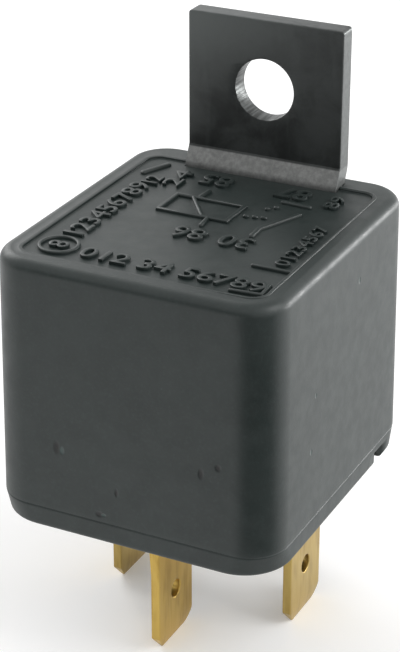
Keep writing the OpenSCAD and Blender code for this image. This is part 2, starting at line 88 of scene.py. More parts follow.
def make_object(name: str, points: np.ndarray, faces: Sequence,
                sharp_angle: float = 35.0) -> bpy.types.Object:
    """Puts points, given in millimetres, and faces into a smooth-shaded mesh object at the origin.

    Args:
        name: name of the object and its mesh.
        points: one row of x, y, z for each vertex.
        faces: vertex indices of each face.
        sharp_angle: edges that turn by more than this many degrees stay crisp.

    Returns:
        The linked object.
    """
    mesh = bpy.data.meshes.new(name)
    mesh.from_pydata((np.asarray(points, float) * MM).tolist(), [], [list(map(int, f)) for f in faces])
    return link_mesh(name, mesh, sharp_angle)


def link_mesh(name: str, mesh: bpy.types.Mesh, sharp_angle: float = 35.0) -> bpy.types.Object:
    """Merges doubles, turns faces outwards, shades smooth with crisp edges and links an object.

    Args:
        name: name of the new object.
        mesh: its mesh, in metres.
        sharp_angle: edges that turn by more than this many degrees stay crisp.

    Returns:
        The linked object.
    """
    shape = bmesh.new()
    shape.from_mesh(mesh)
    bmesh.ops.remove_doubles(shape, verts=shape.verts, dist=1e-7)
    bmesh.ops.recalc_face_normals(shape, faces=shape.faces)
    shape.to_mesh(mesh)
    shape.free()
    shade(mesh, sharp_angle)
    thing = bpy.data.objects.new(name, mesh)
    bpy.context.scene.collection.objects.link(thing)
    return thing


def shade(mesh: bpy.types.Mesh, sharp_angle: float) -> None:
    """Shades a mesh smooth, apart from edges that turn by more than sharp_angle degrees.

    Args:
        mesh: the mesh.
        sharp_angle: least turn of an edge that stays crisp, in degrees.
    """
    mesh.polygons.foreach_set("use_smooth", np.ones(len(mesh.polygons), bool))
    mesh.set_sharp_from_angle(angle=math.radians(sharp_angle))
    mesh.update()


def joined(name: str, things: Sequence[bpy.types.Object], sharp_angle: float = 35.0) -> bpy.types.Object:
    """Gathers several mesh objects, with their modifiers applied, into one new object and removes them.

    Args:
        name: name of the new object.
        things: the mesh objects.
        sharp_angle: edges that turn by more than this many degrees stay crisp.

    Returns:
        The new object.
    """
    graph = bpy.context.evaluated_depsgraph_get()
    shape = bmesh.new()
    for thing in things:
        mesh = bpy.data.meshes.new_from_object(thing.evaluated_get(graph))
        shape.from_mesh(mesh)
        bpy.data.meshes.remove(mesh)
    for thing in things:
        bpy.data.objects.remove(thing)
    mesh = bpy.data.meshes.new(name)
    shape.to_mesh(mesh)
    shape.free()
    shade(mesh, sharp_angle)
    result = bpy.data.objects.new(name, mesh)
    bpy.context.scene.collection.objects.link(result)
    return result


def cut(thing: bpy.types.Object, tool: bpy.types.Object, sharp_angle: float = 35.0) -> None:
    """Cuts the closed tool out of thing for good and removes the tool.

    Args:
        thing: the closed mesh that is cut.
        tool: the closed mesh that is taken away.
        sharp_angle: edges that turn by more than this many degrees stay crisp.
    """
    step = thing.modifiers.new("cut", "BOOLEAN")
    step.operation = "DIFFERENCE"
    step.solver = "EXACT"
    step.object = tool
    graph = bpy.context.evaluated_depsgraph_get()
    mesh = bpy.data.meshes.new_from_object(thing.evaluated_get(graph))
    thing.modifiers.clear()
    thing.data = mesh
    shade(mesh, sharp_angle)
    bpy.data.objects.remove(tool)


def block(name: str, low: Sequence[float], high: Sequence[float]) -> bpy.types.Object:
    """Closed block between two corners, in millimetres, as a tool for cuts.

    Args:
        name: name of the object.
        low: its corner of least x, y and z.
        high: its corner of greatest x, y and z.

    Returns:
        The block.
    """
    sides = np.array(np.meshgrid([0, 1], [0, 1], [0, 1], indexing="ij")).reshape(3, -1).T
    points = np.array(low) + sides * (np.array(high) - np.array(low))
    faces = [(0, 1, 3, 2), (4, 6, 7, 5), (0, 4, 5, 1), (2, 3, 7, 6), (0, 2, 6, 4), (1, 5, 7, 3)]
    return make_object(name, points, faces)


def soften(thing: bpy.types.Object, radius: float, segments: int = 3, angle: float = 30.0) -> None:
    """Rounds the crisp edges of thing by radius, in millimetres, keeping its flat faces flat.

    Args:
        thing: the mesh object.
        radius: radius of the rounded edges, in millimetres.
        segments: facets of a rounded edge.
        angle: least turn of an edge that is rounded, in degrees.
    """
    step = thing.modifiers.new("edges", "BEVEL")
    step.width = radius * MM
    step.segments = segments
    step.limit_method = "ANGLE"
    step.angle_limit = math.radians(angle)
    step.harden_normals = True
    step.use_clamp_overlap = True


def refined_copy(node: str, name: str, radius: float, segments: int = 2) -> bpy.types.Object:
    """Copy of a CAD node with its coplanar triangles dissolved and its edges rounded.

    Args:
        node: name of the CAD node.
        name: name of the copy.
        radius: radius of the rounded edges, in millimetres, or 0 for none.
        segments: facets of a rounded edge.

    Returns:
        The copy.
    """
    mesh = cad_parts[node].data.copy()
    mesh.materials.clear()
    shape = bmesh.new()
    shape.from_mesh(mesh)
    bmesh.ops.remove_doubles(shape, verts=shape.verts, dist=2e-6)
    bmesh.ops.dissolve_limit(shape, angle_limit=math.radians(1.0), verts=shape.verts, edges=shape.edges)
    shape.to_mesh(mesh)
    shape.free()
    shade(mesh, 35.0)
    thing = bpy.data.objects.new(name, mesh)
    bpy.context.scene.collection.objects.link(thing)
    if radius:
        soften(thing, radius, segments)
    return thing


def rounded_loop(half_w: float, half_d: float, radius: float, centre_y: float = 0.0,
                 arc: int = 14, side: int = 10) -> np.ndarray:
    """Points round a rectangle with rounded corners, anticlockwise from the middle of its right side.

    Each corner is the arc centre + radius * (cos a, sin a) for a quarter turn, and each side is divided
    evenly, so loops of any size have the same number of points and can be joined.

    Args:
        half_w: half the width along x.
        half_d: half the depth along y.
        radius: radius of the corners.
        centre_y: y of the centre.
        arc: steps in each corner.
        side: steps along each side.

    Returns:
        One row of x, y for each point.
    """
    quarter = np.linspace(0, np.pi / 2, arc + 1)
    corners = np.array([[1, 1], [-1, 1], [-1, -1], [1, -1]], float)
    centres = corners * [half_w - radius, half_d - radius]
    turns = np.arange(4) * np.pi / 2
    angle = turns[:, None] + quarter[None, :]
    arcs = centres[:, None, :] + radius * np.stack([np.cos(angle), np.sin(angle)], axis=-1)
    share = np.linspace(0, 1, side + 1)[1:-1, None]
    ends, starts = arcs[:, -1], np.roll(arcs, -1, axis=0)[:, 0]
    sides = ends[:, None, :] * (1 - share) + starts[:, None, :] * share
    loop = np.concatenate([np.concatenate([arcs[k], sides[k]]) for k in range(4)])
    return loop + [0, centre_y]


def stacked_loops(loops: Sequence[np.ndarray], levels: Sequence[float | np.ndarray]) -> np.ndarray:
    """Gives each x, y loop its level z, one for all points or one for each, and stacks the loops.

    Args:
        loops: x, y points of each loop.
        levels: z of each loop.

    Returns:
        One row of x, y, z for each point.
    """
    rows = [np.column_stack([loop, np.broadcast_to(z, len(loop))]) for loop, z in zip(loops, levels)]
    return np.concatenate(rows)


# ---- Finishes --------------------------------------------------------------


class Graph:
    """Builder of one material's nodes, on Object coordinates in metres."""

    def __init__(self, name: str) -> None:
        """Starts a material with an empty tree, a surface shader and an output."""
        self.material = bpy.data.materials.new(name)
        self.material.use_nodes = True
        self.tree = self.material.node_tree
        self.tree.nodes.clear()
        output = self.tree.nodes.new("ShaderNodeOutputMaterial")
        self.shader = self.tree.nodes.new("ShaderNodeBsdfPrincipled")
        self.tree.links.new(self.shader.outputs["BSDF"], output.inputs["Surface"])
        self.place = self.tree.nodes.new("ShaderNodeTexCoord")

    def put(self, node: bpy.types.Node, name: Union[str, int], value: Value) -> None:
        """Links value to an input if it is a socket, or else sets it.

        Args:
            node: the node.
            name: name or number of its input.
            value: a socket, a number or a colour.
        """
        if isinstance(value, Socket):
            self.tree.links.new(value, node.inputs[name])
        elif isinstance(value, tuple) and len(value) == 3 and node.inputs[name].type == "RGBA":
            node.inputs[name].default_value = (*value, 1.0)
        else:
            node.inputs[name].default_value = value

    def set(self, **values: Value) -> None:
        """Sets inputs of the surface shader, named with _ for a blank."""
        for name, value in values.items():
            self.put(self.shader, name.replace("_", " "), value)

    def coords(self, scale: Sequence[float] = (1, 1, 1), move: Sequence[float] = (0, 0, 0),
               turn: Sequence[float] = (0, 0, 0)) -> Socket:
        """Object coordinates, moved by -move, turned and stretched.

        Args:
            scale: factor along each axis.
            move: point, in millimetres, that becomes the origin.
            turn: rotation in degrees.

        Returns:
            The vector socket.
        """
        shift = self.tree.nodes.new("ShaderNodeMapping")
        shift.inputs["Location"].default_value = [-m * MM for m in move]
        self.tree.links.new(self.place.outputs["Object"], shift.inputs["Vector"])
        node = self.tree.nodes.new("ShaderNodeMapping")
        node.inputs["Scale"].default_value = scale
        node.inputs["Rotation"].default_value = [math.radians(t) for t in turn]
        self.tree.links.new(shift.outputs["Vector"], node.inputs["Vector"])
        return node.outputs["Vector"]

    def noise(self, size: float, detail: float = 3.0, roughness: float = 0.55,
              vector: Optional[Socket] = None, distortion: float = 0.0) -> Socket:
        """Fractal noise between 0 and 1 whose features are about size millimetres across.

        Args:
            size: size of the features, in millimetres.
            detail: octaves of finer noise.
            roughness: strength of the finer octaves.
            vector: coordinates, or None for the Object coordinates.
            distortion: how far the noise is warped.

        Returns:
            The value socket.
        """
        node = self.tree.nodes.new("ShaderNodeTexNoise")
        self.put(node, "Vector", vector or self.place.outputs["Object"])
        self.put(node, "Scale", 1000.0 / size)
        self.put(node, "Detail", detail)
        self.put(node, "Roughness", roughness)
        self.put(node, "Distortion", distortion)
        return node.outputs["Fac"]

    def cells(self, size: float, vector: Optional[Socket] = None) -> Socket:
        """Distance to scattered points about size millimetres apart, from 0 at each point.

        Args:
            size: distance between the points, in millimetres.
            vector: coordinates, or None for the Object coordinates.

        Returns:
            The distance socket.
        """
        node = self.tree.nodes.new("ShaderNodeTexVoronoi")
        self.put(node, "Vector", vector or self.place.outputs["Object"])
        self.put(node, "Scale", 1000.0 / size)
        return node.outputs["Distance"]

    def span(self, value: Socket, low: float, high: float,
             out_low: float = 0.0, out_high: float = 1.0) -> Socket:
        """Carries value from low..high to out_low..out_high, held at both ends and eased.

        Args:
            value: the socket.
            low: value that gives out_low.
            high: value that gives out_high.
            out_low: result at low.
            out_high: result at high.

        Returns:
            The result socket.
        """
        node = self.tree.nodes.new("ShaderNodeMapRange")
        node.interpolation_type = "SMOOTHSTEP"
        for name, number in (("Value", value), ("From Min", low), ("From Max", high),
                             ("To Min", out_low), ("To Max", out_high)):
            self.put(node, name, number)
        return node.outputs["Result"]

    def maths(self, operation: str, a: Value, b: Value = 0.0, c: Value = 0.0) -> Socket:
        """One step of arithmetic on sockets or numbers.

        Args:
            operation: name of the operation.
            a: first value.
            b: second value.
            c: third value.

        Returns:
            The result socket.
        """
        node = self.tree.nodes.new("ShaderNodeMath")
        node.operation = operation
        for index, value in enumerate((a, b, c)):
            self.put(node, index, value)
        return node.outputs[0]

    def mix(self, share: Value, first: Value, second: Value) -> Socket:
        """Colour between first and second, by share.

        Args:
            share: 0 for the first and 1 for the second.
            first: a colour.
            second: a colour.

        Returns:
            The colour socket.
        """
        node = self.tree.nodes.new("ShaderNodeMix")
        node.data_type = "RGBA"
        for index, value in ((0, share), (6, first), (7, second)):
            self.put(node, index, value)
        return node.outputs[2]

    def axes(self, vector: Optional[Socket] = None) -> tuple[Socket, Socket, Socket]:
        """The x, y and z of a vector, or of the Object coordinates.

        Args:
            vector: the vector, or None for the Object coordinates.

        Returns:
            The three sockets.
        """
        node = self.tree.nodes.new("ShaderNodeSeparateXYZ")
        self.put(node, "Vector", vector or self.place.outputs["Object"])
        return node.outputs["X"], node.outputs["Y"], node.outputs["Z"]

    def near(self, centre: Sequence[float], radius: float, stretch: Sequence[float] = (1, 1, 1)) -> Socket:
        """1 at a point of the piece, in millimetres, that fades to 0 at radius.

        Args:
            centre: the point.
            radius: where it has faded, in millimetres.
            stretch: factor on each axis.

        Returns:
            The value socket.
        """
        scaled = self.coords(scale=stretch, move=centre)
        node = self.tree.nodes.new("ShaderNodeVectorMath")
        node.operation = "LENGTH"
        self.put(node, "Vector", scaled)
        return self.span(node.outputs["Value"], 0.25 * radius * MM, radius * MM, 1.0, 0.0)

    def bump(self, height: Socket, depth: float, normal: Optional[Socket] = None) -> Socket:
        """Normal of a relief that is depth millimetres high where height is 1.

        Args:
            height: height of the relief.
            depth: its scale, in millimetres.
            normal: normal that it is added to, if any.

        Returns:
            The normal socket.
        """
        node = self.tree.nodes.new("ShaderNodeBump")
        self.put(node, "Strength", 1.0)
        self.put(node, "Distance", depth * MM)
        self.put(node, "Height", height)
        if normal is not None:
            self.put(node, "Normal", normal)
        return node.outputs["Normal"]


@dataclass(frozen=True)
class Nick:
    """Small dent or scuff in a moulding, darkened with painted shade unless pale: place in millimetres,
    radius, and stretch along each axis.
    """

    centre: tuple[float, float, float]
    radius: float
    stretch: tuple[float, float, float] = (1, 1, 1)
    pale: bool = False


@dataclass(frozen=True)
class MouldedPlastic:
    """Filled thermoplastic with a fine spark-eroded grain, faint flow clouds and a few nicks."""

    name: str
    tone: Colour
    cloud: Colour
    roughness: float = 0.44
    grain: float = 0.006
    nicks: tuple[Nick, ...] = ()

    def material(self) -> bpy.types.Material:
        """Builds the plastic's nodes.

        Returns:
            The material.
        """
        g = Graph(self.name)
        clouds = g.noise(5.0, 4.0, 0.62, distortion=0.3)
        specks = g.span(g.cells(1.7), 0.02, 0.06, 1.0, 0.0)
        dust = g.maths("MULTIPLY", specks, g.span(g.noise(2.2, 1.0), 0.55, 0.62))
        colour = g.mix(g.span(clouds, 0.3, 0.72), self.tone, self.cloud)
        fleck = g.span(g.noise(0.3, 2.0), 0.45, 0.8, 0.0, 0.3)
        colour = g.mix(fleck, colour, tuple(1.8 * c for c in self.cloud))
        colour = g.mix(g.maths("MULTIPLY", dust, 0.3), colour, tuple(4.0 * c for c in self.tone))
        rough = g.span(g.noise(1.6, 3.0), 0.25, 0.75, self.roughness - 0.04, self.roughness + 0.05)
        normal = g.bump(g.noise(0.16, 2.0, 0.5), self.grain)
        normal = g.bump(g.noise(1.1, 2.0, 0.5), 0.0012, normal)
        dent: Optional[Socket] = None
        for nick in self.nicks:
            mask = g.near(nick.centre, nick.radius, nick.stretch)
            # Pale nicks are whitened scuffs; dark nicks are drawn near black, which is painted shade in the
            # dent.
            edge = tuple(5.0 * c for c in self.tone) if nick.pale else tuple(0.1 * c for c in self.tone)
            colour = g.mix(g.maths("MULTIPLY", mask, 0.6 if nick.pale else 0.95), colour, edge)
            dent = mask if dent is None else g.maths("MAXIMUM", dent, mask)
        if dent is not None:
            normal = g.bump(g.maths("MULTIPLY", dent, -1.0), 0.06, normal)
        g.set(Base_Color=colour, Roughness=rough, IOR=1.5, Normal=normal)
        return g.material


@dataclass(frozen=True)
class BlackenedSteel:
    """Strip steel with a thin black oxide, rubbed grey at its bend and bare where sheared or punched."""

    name: str
    half_width: float
    bend_low: float
    bend_high: float
    top: float
    hole: tuple[float, float, float]
    hole_radius: float
    oxide: Colour = (0.026, 0.0285, 0.028)
    rubbed: Colour = (0.25, 0.255, 0.25)
    bare: Colour = (0.15, 0.158, 0.156)

    def material(self) -> bpy.types.Material:
        """Builds the steel's nodes.

        Returns:
            The material.
        """
        g = Graph(self.name)
        x, _, z = g.axes()
        cloud = g.noise(3.5, 5.0, 0.62, distortion=0.4)
        fine = g.noise(0.45, 4.0, 0.65)
        streak = g.noise(1.0, 3.0, 0.6, g.coords((1, 1, 0.12)))
        film = g.mix(g.span(cloud, 0.3, 0.7), self.oxide, tuple(2.2 * c for c in self.oxide))
        film = g.mix(g.span(streak, 0.5, 0.8, 0.0, 0.3), film, tuple(3.0 * c for c in self.oxide))
        # Painted light: the oxide is drawn lighter towards the top of the plate, most on its left side.
        film = g.mix(g.maths("MULTIPLY", g.span(z, (self.bend_high + 4.0) * MM, self.top * MM),
                             g.span(x, -self.half_width * MM, self.half_width * MM, 0.75, 0.1)),
                     film, tuple(4.2 * c for c in self.oxide))
        # Share of the surface that is rubbed or bare
        bend = g.maths("MULTIPLY", g.span(z, (self.bend_low - 0.5) * MM, (self.bend_low - 0.1) * MM),
                       g.span(z, (self.bend_high - 0.06) * MM, (self.bend_high + 0.08) * MM, 1.0, 0.0))
        edge = g.span(g.maths("ABSOLUTE", x), (self.half_width - 0.14) * MM, (self.half_width - 0.04) * MM)
        crown = g.span(z, (self.top - 0.16) * MM, (self.top - 0.04) * MM)
        scratch = g.span(g.noise(1.1, 3.0, 0.6, g.coords((0.5, 1.6, 1))), 0.54, 0.6, 1.0, 0.1)
        edge = g.maths("MAXIMUM", edge, g.maths("MULTIPLY", crown, g.maths("MULTIPLY", scratch, 0.6)))
        ring = g.tree.nodes.new("ShaderNodeVectorMath")
        ring.operation = "LENGTH"
        g.put(ring, "Vector", g.coords((1, 0, 1), self.hole))
        bore = g.span(ring.outputs["Value"], (self.hole_radius + 0.02) * MM,
                      (self.hole_radius + 0.10) * MM, 1.0, 0.0)
        mottle = g.span(fine, 0.3, 0.7, 0.6, 1.0)
        bare = g.maths("MAXIMUM", g.maths("MULTIPLY", edge, 0.8), bore)
        share = g.maths("MULTIPLY", bend, mottle)
        colour = g.mix(share, film, self.rubbed)
        colour = g.mix(g.maths("MULTIPLY", bare, mottle), colour, self.bare)
        worn = g.maths("MAXIMUM", share, bare)
        bars = g.noise(0.35, 3.0, 0.6, g.coords((1, 0.05, 1)))
        score = g.maths("MULTIPLY", bore, g.span(bars, 0.4, 0.62))
        colour = g.mix(score, colour, tuple(0.35 * c for c in self.bare))
        g.set(Base_Color=colour, Metallic=g.span(worn, 0.0, 1.0, 0.5, 0.9),
              Roughness=g.span(cloud, 0.2, 0.8, 0.38, 0.52),
              Normal=g.bump(g.maths("ADD", g.maths("MULTIPLY", fine, 0.6), streak), 0.010))
        return g.material


@dataclass(frozen=True)
class StampedBrass:
    """Rolled brass strip with fine streaks along its length, tarnish clouds and darker spots."""

    name: str
    metal: Colour = (0.56, 0.385, 0.105)
    tarnish: Colour = (0.33, 0.205, 0.048)
    pale: Colour = (0.68, 0.51, 0.20)
    along: tuple[float, float, float] = (1, 1, 0.05)

    def material(self) -> bpy.types.Material:
        """Builds the brass's nodes.

        Returns:
            The material.
        """
        g = Graph(self.name)
        lines = g.noise(0.32, 5.0, 0.7, g.coords(self.along))
        broad = g.noise(1.3, 2.0, 0.5, g.coords((1, 1, 0.3)))
        spots = g.noise(0.6, 4.0, 0.7)
        share = g.maths("MULTIPLY", g.span(broad, 0.38, 0.72), 0.5)
        share = g.maths("ADD", share, g.span(lines, 0.52, 0.78, 0.0, 0.4))
        share = g.maths("MAXIMUM", share, g.span(spots, 0.68, 0.78, 0.0, 0.6))
        colour = g.mix(g.span(share, 0.0, 1.0), self.metal, self.tarnish)
        colour = g.mix(g.span(lines, 0.22, 0.42, 0.45, 0.0), colour, self.pale)
        g.set(Base_Color=colour, Metallic=1.0, Roughness=g.span(lines, 0.2, 0.8, 0.30, 0.46),
              Normal=g.bump(lines, 0.010))
        return g.material


@dataclass(frozen=True)
class PlainMetal:
    """Plated or polished metal with a faint turned or rolled texture."""

    name: str
    metal: Colour
    worn: Colour
    roughness: float = 0.3
    stretch: tuple[float, float, float] = (1, 1, 1)
    size: float = 0.4

    def material(self) -> bpy.types.Material:
        """Builds the metal's nodes.

        Returns:
            The material.
        """
        g = Graph(self.name)
        lines = g.noise(self.size, 4.0, 0.6, g.coords(self.stretch))
        cloud = g.noise(2.5, 3.0, 0.6)
        colour = g.mix(g.span(cloud, 0.35, 0.7), self.metal, self.worn)
        rough = g.span(lines, 0.2, 0.8, self.roughness - 0.06, self.roughness + 0.1)
        g.set(Base_Color=colour, Metallic=1.0, Roughness=rough, Normal=g.bump(lines, 0.006))
        return g.material


def seen_directly(tree: bpy.types.NodeTree) -> Socket:
    """1 for rays of the camera, of reflections and of clear materials, 0 for light that surfaces scatter.

    Args:
        tree: nodes that the value is for.

    Returns:
        The value socket.
    """
    path = tree.nodes.new("ShaderNodeLightPath")
    either = path.outputs["Is Camera Ray"]
    for name in ("Is Glossy Ray", "Is Transmission Ray"):
        node = tree.nodes.new("ShaderNodeMath")
        node.operation = "MAXIMUM"
        tree.links.new(either, node.inputs[0])
        tree.links.new(path.outputs[name], node.inputs[1])
        either = node.outputs[0]
    return either


@dataclass(frozen=True)
class Studio:
    """Pale floor, soft lamps and the camera. Lengths are in millimetres and angles in degrees."""

    azimuth: float = 26.449
    elevation: float = 25.642
    place: tuple[float, float, float] = (69.87, -141.44, 103.06)
    focal: float = 2056.9
    frame_height: int = 652
    floor_half: float = 2500.0
    floor_z: float = -0.02
    aim_z: float = 25.0
    corner: tuple[float, float] = (10.0, -11.0)
    floor_lift: float = 0.15
    sky: float = 0.72

    def camera(self) -> None:
        """Sets the camera at its place, with its axes from azimuth and elevation."""
        a, e = math.radians(self.azimuth), math.radians(self.elevation)
        back = Vector((math.sin(a) * math.cos(e), -math.cos(a) * math.cos(e), math.sin(e)))
        right = Vector((math.cos(a), math.sin(a), 0))
        up = back.cross(right)
        data = bpy.data.cameras.new("camera")
        data.sensor_width = 36.0
        data.lens = self.focal / self.frame_height * data.sensor_width
        data.clip_start, data.clip_end = 0.01, 20.0
        eye = bpy.data.objects.new("camera", data)
        turn = Matrix((right, up, back)).transposed().to_4x4()
        eye.matrix_world = Matrix.Translation(Vector(self.place) * MM) @ turn
        bpy.context.scene.collection.objects.link(eye)
        bpy.context.scene.camera = eye

    def floor(self) -> bpy.types.Object:
        """Wide floor under the blade tips, as an even grid.

        Returns:
            The floor.
        """
        steps = np.linspace(-1, 1, 41)
        x, y = np.meshgrid(steps, steps, indexing="ij")
        level = np.full_like(x, self.floor_z)
        points = np.stack([x * self.floor_half, y * self.floor_half, level], axis=-1).reshape(-1, 3)
        ground = make_object("floor", points, grid_faces(41, 41, False))
        material = bpy.data.materials.new("floor_paper")
        material.use_nodes = True
        tree = material.node_tree
        shader = tree.nodes["Principled BSDF"]
        shader.inputs["Base Color"].default_value = (0.95, 0.95, 0.95, 1)
        shader.inputs["Roughness"].default_value = 0.9
        shader.inputs["Specular IOR Level"].default_value = 0.1
        shader.inputs["Emission Color"].default_value = (1, 1, 1, 1)
        lift = tree.nodes.new("ShaderNodeMath")
        lift.operation = "MULTIPLY"
        tree.links.new(seen_directly(tree), lift.inputs[0])
        lift.inputs[1].default_value = self.floor_lift
        tree.links.new(lift.outputs[0], shader.inputs["Emission Strength"])
        ground.data.materials.append(material)
        return ground

    def lamp(self, name: str, place: Sequence[float], size: tuple[float, float], power: float) -> None:
        """Soft rectangular lamp that faces the relay.

        Args:
            name: name of the lamp.
            place: its centre, in millimetres.
            size: its width and height, in millimetres.
            power: its power, in watts.
        """
        data = bpy.data.lights.new(name, "AREA")
        data.shape = "RECTANGLE"
        data.size, data.size_y = size[0] * MM, size[1] * MM
        data.energy = power
        lamp = bpy.data.objects.new(name, data)
        spot = Vector(place) * MM
        lamp.location = spot
        lamp.rotation_euler = (Vector((0, 0, self.aim_z * MM)) - spot).to_track_quat("-Z", "Y").to_euler()
        bpy.context.scene.collection.objects.link(lamp)

    def card(self, name: str, corners: Sequence[Sequence[float]]) -> None:
        """Dark card in the studio that only glossy reflections show.

        Args:
            name: name of the card.
            corners: its corners in order, in millimetres.
        """
        card = make_object(name, np.array(corners, float), [tuple(range(len(corners)))])
        material = bpy.data.materials.new(name)
        material.use_nodes = True
        shader = material.node_tree.nodes["Principled BSDF"]
        shader.inputs["Base Color"].default_value = (0.01, 0.01, 0.01, 1)
        shader.inputs["Roughness"].default_value = 1.0
        shader.inputs["Specular IOR Level"].default_value = 0.0
        card.data.materials.append(material)
        card.visible_camera = False
        card.visible_diffuse = False
        card.visible_shadow = False
        card.visible_transmission = False

    def sector(self, start: float, end: float, near: float, far: float) -> list[tuple[float, float, float]]:
        """Outline of a flat ring sector just above the floor.

        Its points are centre + distance * (sin a, -cos a), with a turned from the front towards the right.

        Args:
            start: first angle, in degrees from the front.
            end: last angle.
            near: inner distance from the front right corner of the relay.
            far: outer distance.

        Returns:
            The points in order.
        """
        turn = np.radians(np.linspace(start, end, 13))
        ring = np.column_stack([np.sin(turn), -np.cos(turn)])
        flat = np.concatenate([near * ring, far * ring[::-1]]) + self.corner
        return [(x, y, 0.05) for x, y in flat]

    def world(self) -> None:
        """White surroundings to the eye and in reflections, and a softer level for the light they give."""
        world = bpy.data.worlds.new("surroundings")
        world.use_nodes = True
        tree = world.node_tree
        tree.nodes.clear()
        output = tree.nodes.new("ShaderNodeOutputWorld")
        light = tree.nodes.new("ShaderNodeBackground")
        light.inputs["Color"].default_value = (1, 1, 1, 1)
        light.inputs["Strength"].default_value = self.sky
        white = tree.nodes.new("ShaderNodeBackground")
        white.inputs["Color"].default_value = (1, 1, 1, 1)
        white.inputs["Strength"].default_value = 1.0
        mixed = tree.nodes.new("ShaderNodeMixShader")
        tree.links.new(seen_directly(tree), mixed.inputs[0])
        tree.links.new(light.outputs[0], mixed.inputs[1])
        tree.links.new(white.outputs[0], mixed.inputs[2])
        tree.links.new(mixed.outputs[0], output.inputs["Surface"])
        bpy.context.scene.world = world

    def build(self) -> None:
        """Sets up the world, the floor, the lamps and the camera."""
        bpy.context.scene.view_settings.view_transform = "Standard"
        self.world()
        self.floor()
        self.lamp("key", (420, 60, 330), (300, 300), 1.0)
        self.lamp("rear_strip", (300, 405, 48), (320, 44), 1.25)
        self.lamp("left", (-430, 240, 300), (320, 320), 1.3)
        self.card("floor_card", self.sector(0, 96, 21, 200))
        self.card("front_card", [(-420, -300, 22), (200, -300, 22), (200, -300, 140), (-420, -300, 140)])
        self.camera()


# ---- Swept shapes ----------------------------------------------------------


def tube_faces(rings: int, count: int) -> list:
    """Quads round a closed tube of rings, with a many-sided face at both ends."""
    faces = grid_faces(rings, count, True).tolist()
    return faces + [list(range(count))[::-1], list(range((rings - 1) * count, rings * count))]


def bent_line(corners: Sequence[Sequence[float]], radius: float,
              step: float = 0.4) -> tuple[np.ndarray, np.ndarray]:
    """Centre line of a strip in a plane, straight between its corners and rounded at each.

    At a corner the line follows the circle of the given radius that touches both straight parts. The arc's
    points are its centre plus radius times (cos a, sin a), in even steps of a.

    Args:
        corners: points of the path, two numbers each.
        radius: radius of the centre line at the corners.
        step: greatest distance between points on the straight parts.

    Returns:
        The points, and the unit direction at each point.
    """
    pts = np.asarray(corners, float)
    places, ways = [pts[0]], []
    unit = [(b - a) / np.linalg.norm(b - a) for a, b in zip(pts[:-1], pts[1:])]
    ways.append(unit[0])
    for k in range(1, len(pts) - 1):
        u, v = unit[k - 1], unit[k]
        angle = math.atan2(u[0] * v[1] - u[1] * v[0], float(u @ v))
        side = math.copysign(1, angle)
        start = pts[k] - u * radius * math.tan(abs(angle) / 2)
        centre = start + side * radius * np.array([-u[1], u[0]])
        turn = np.linspace(0, angle, 9)[:, None]
        arm = start - centre
        arc = centre + np.cos(turn) * arm + np.sin(turn) * np.array([-arm[1], arm[0]])
        way = np.cos(turn) * u + np.sin(turn) * np.array([-u[1], u[0]])
        places += straight(places[-1], arc[0], step) + list(arc)
        ways += [u] * (len(places) - len(ways) - len(arc)) + list(way)
    places += straight(places[-1], pts[-1], step) + [pts[-1]]
    ways += [unit[-1]] * (len(places) - len(ways))
    return np.array(places), np.array(ways)


def straight(start: np.ndarray, end: np.ndarray, step: float) -> list:
    """Points between start and end, without them, no further apart than step.

    Args:
        start: first end.
        end: other end.
        step: greatest distance between points.

    Returns:
        The points in order.
    """
    count = max(int(math.ceil(np.linalg.norm(end - start) / step)), 1)
    share = np.linspace(0, 1, count + 1)[1:-1, None]
    return list(start * (1 - share) + end * share)


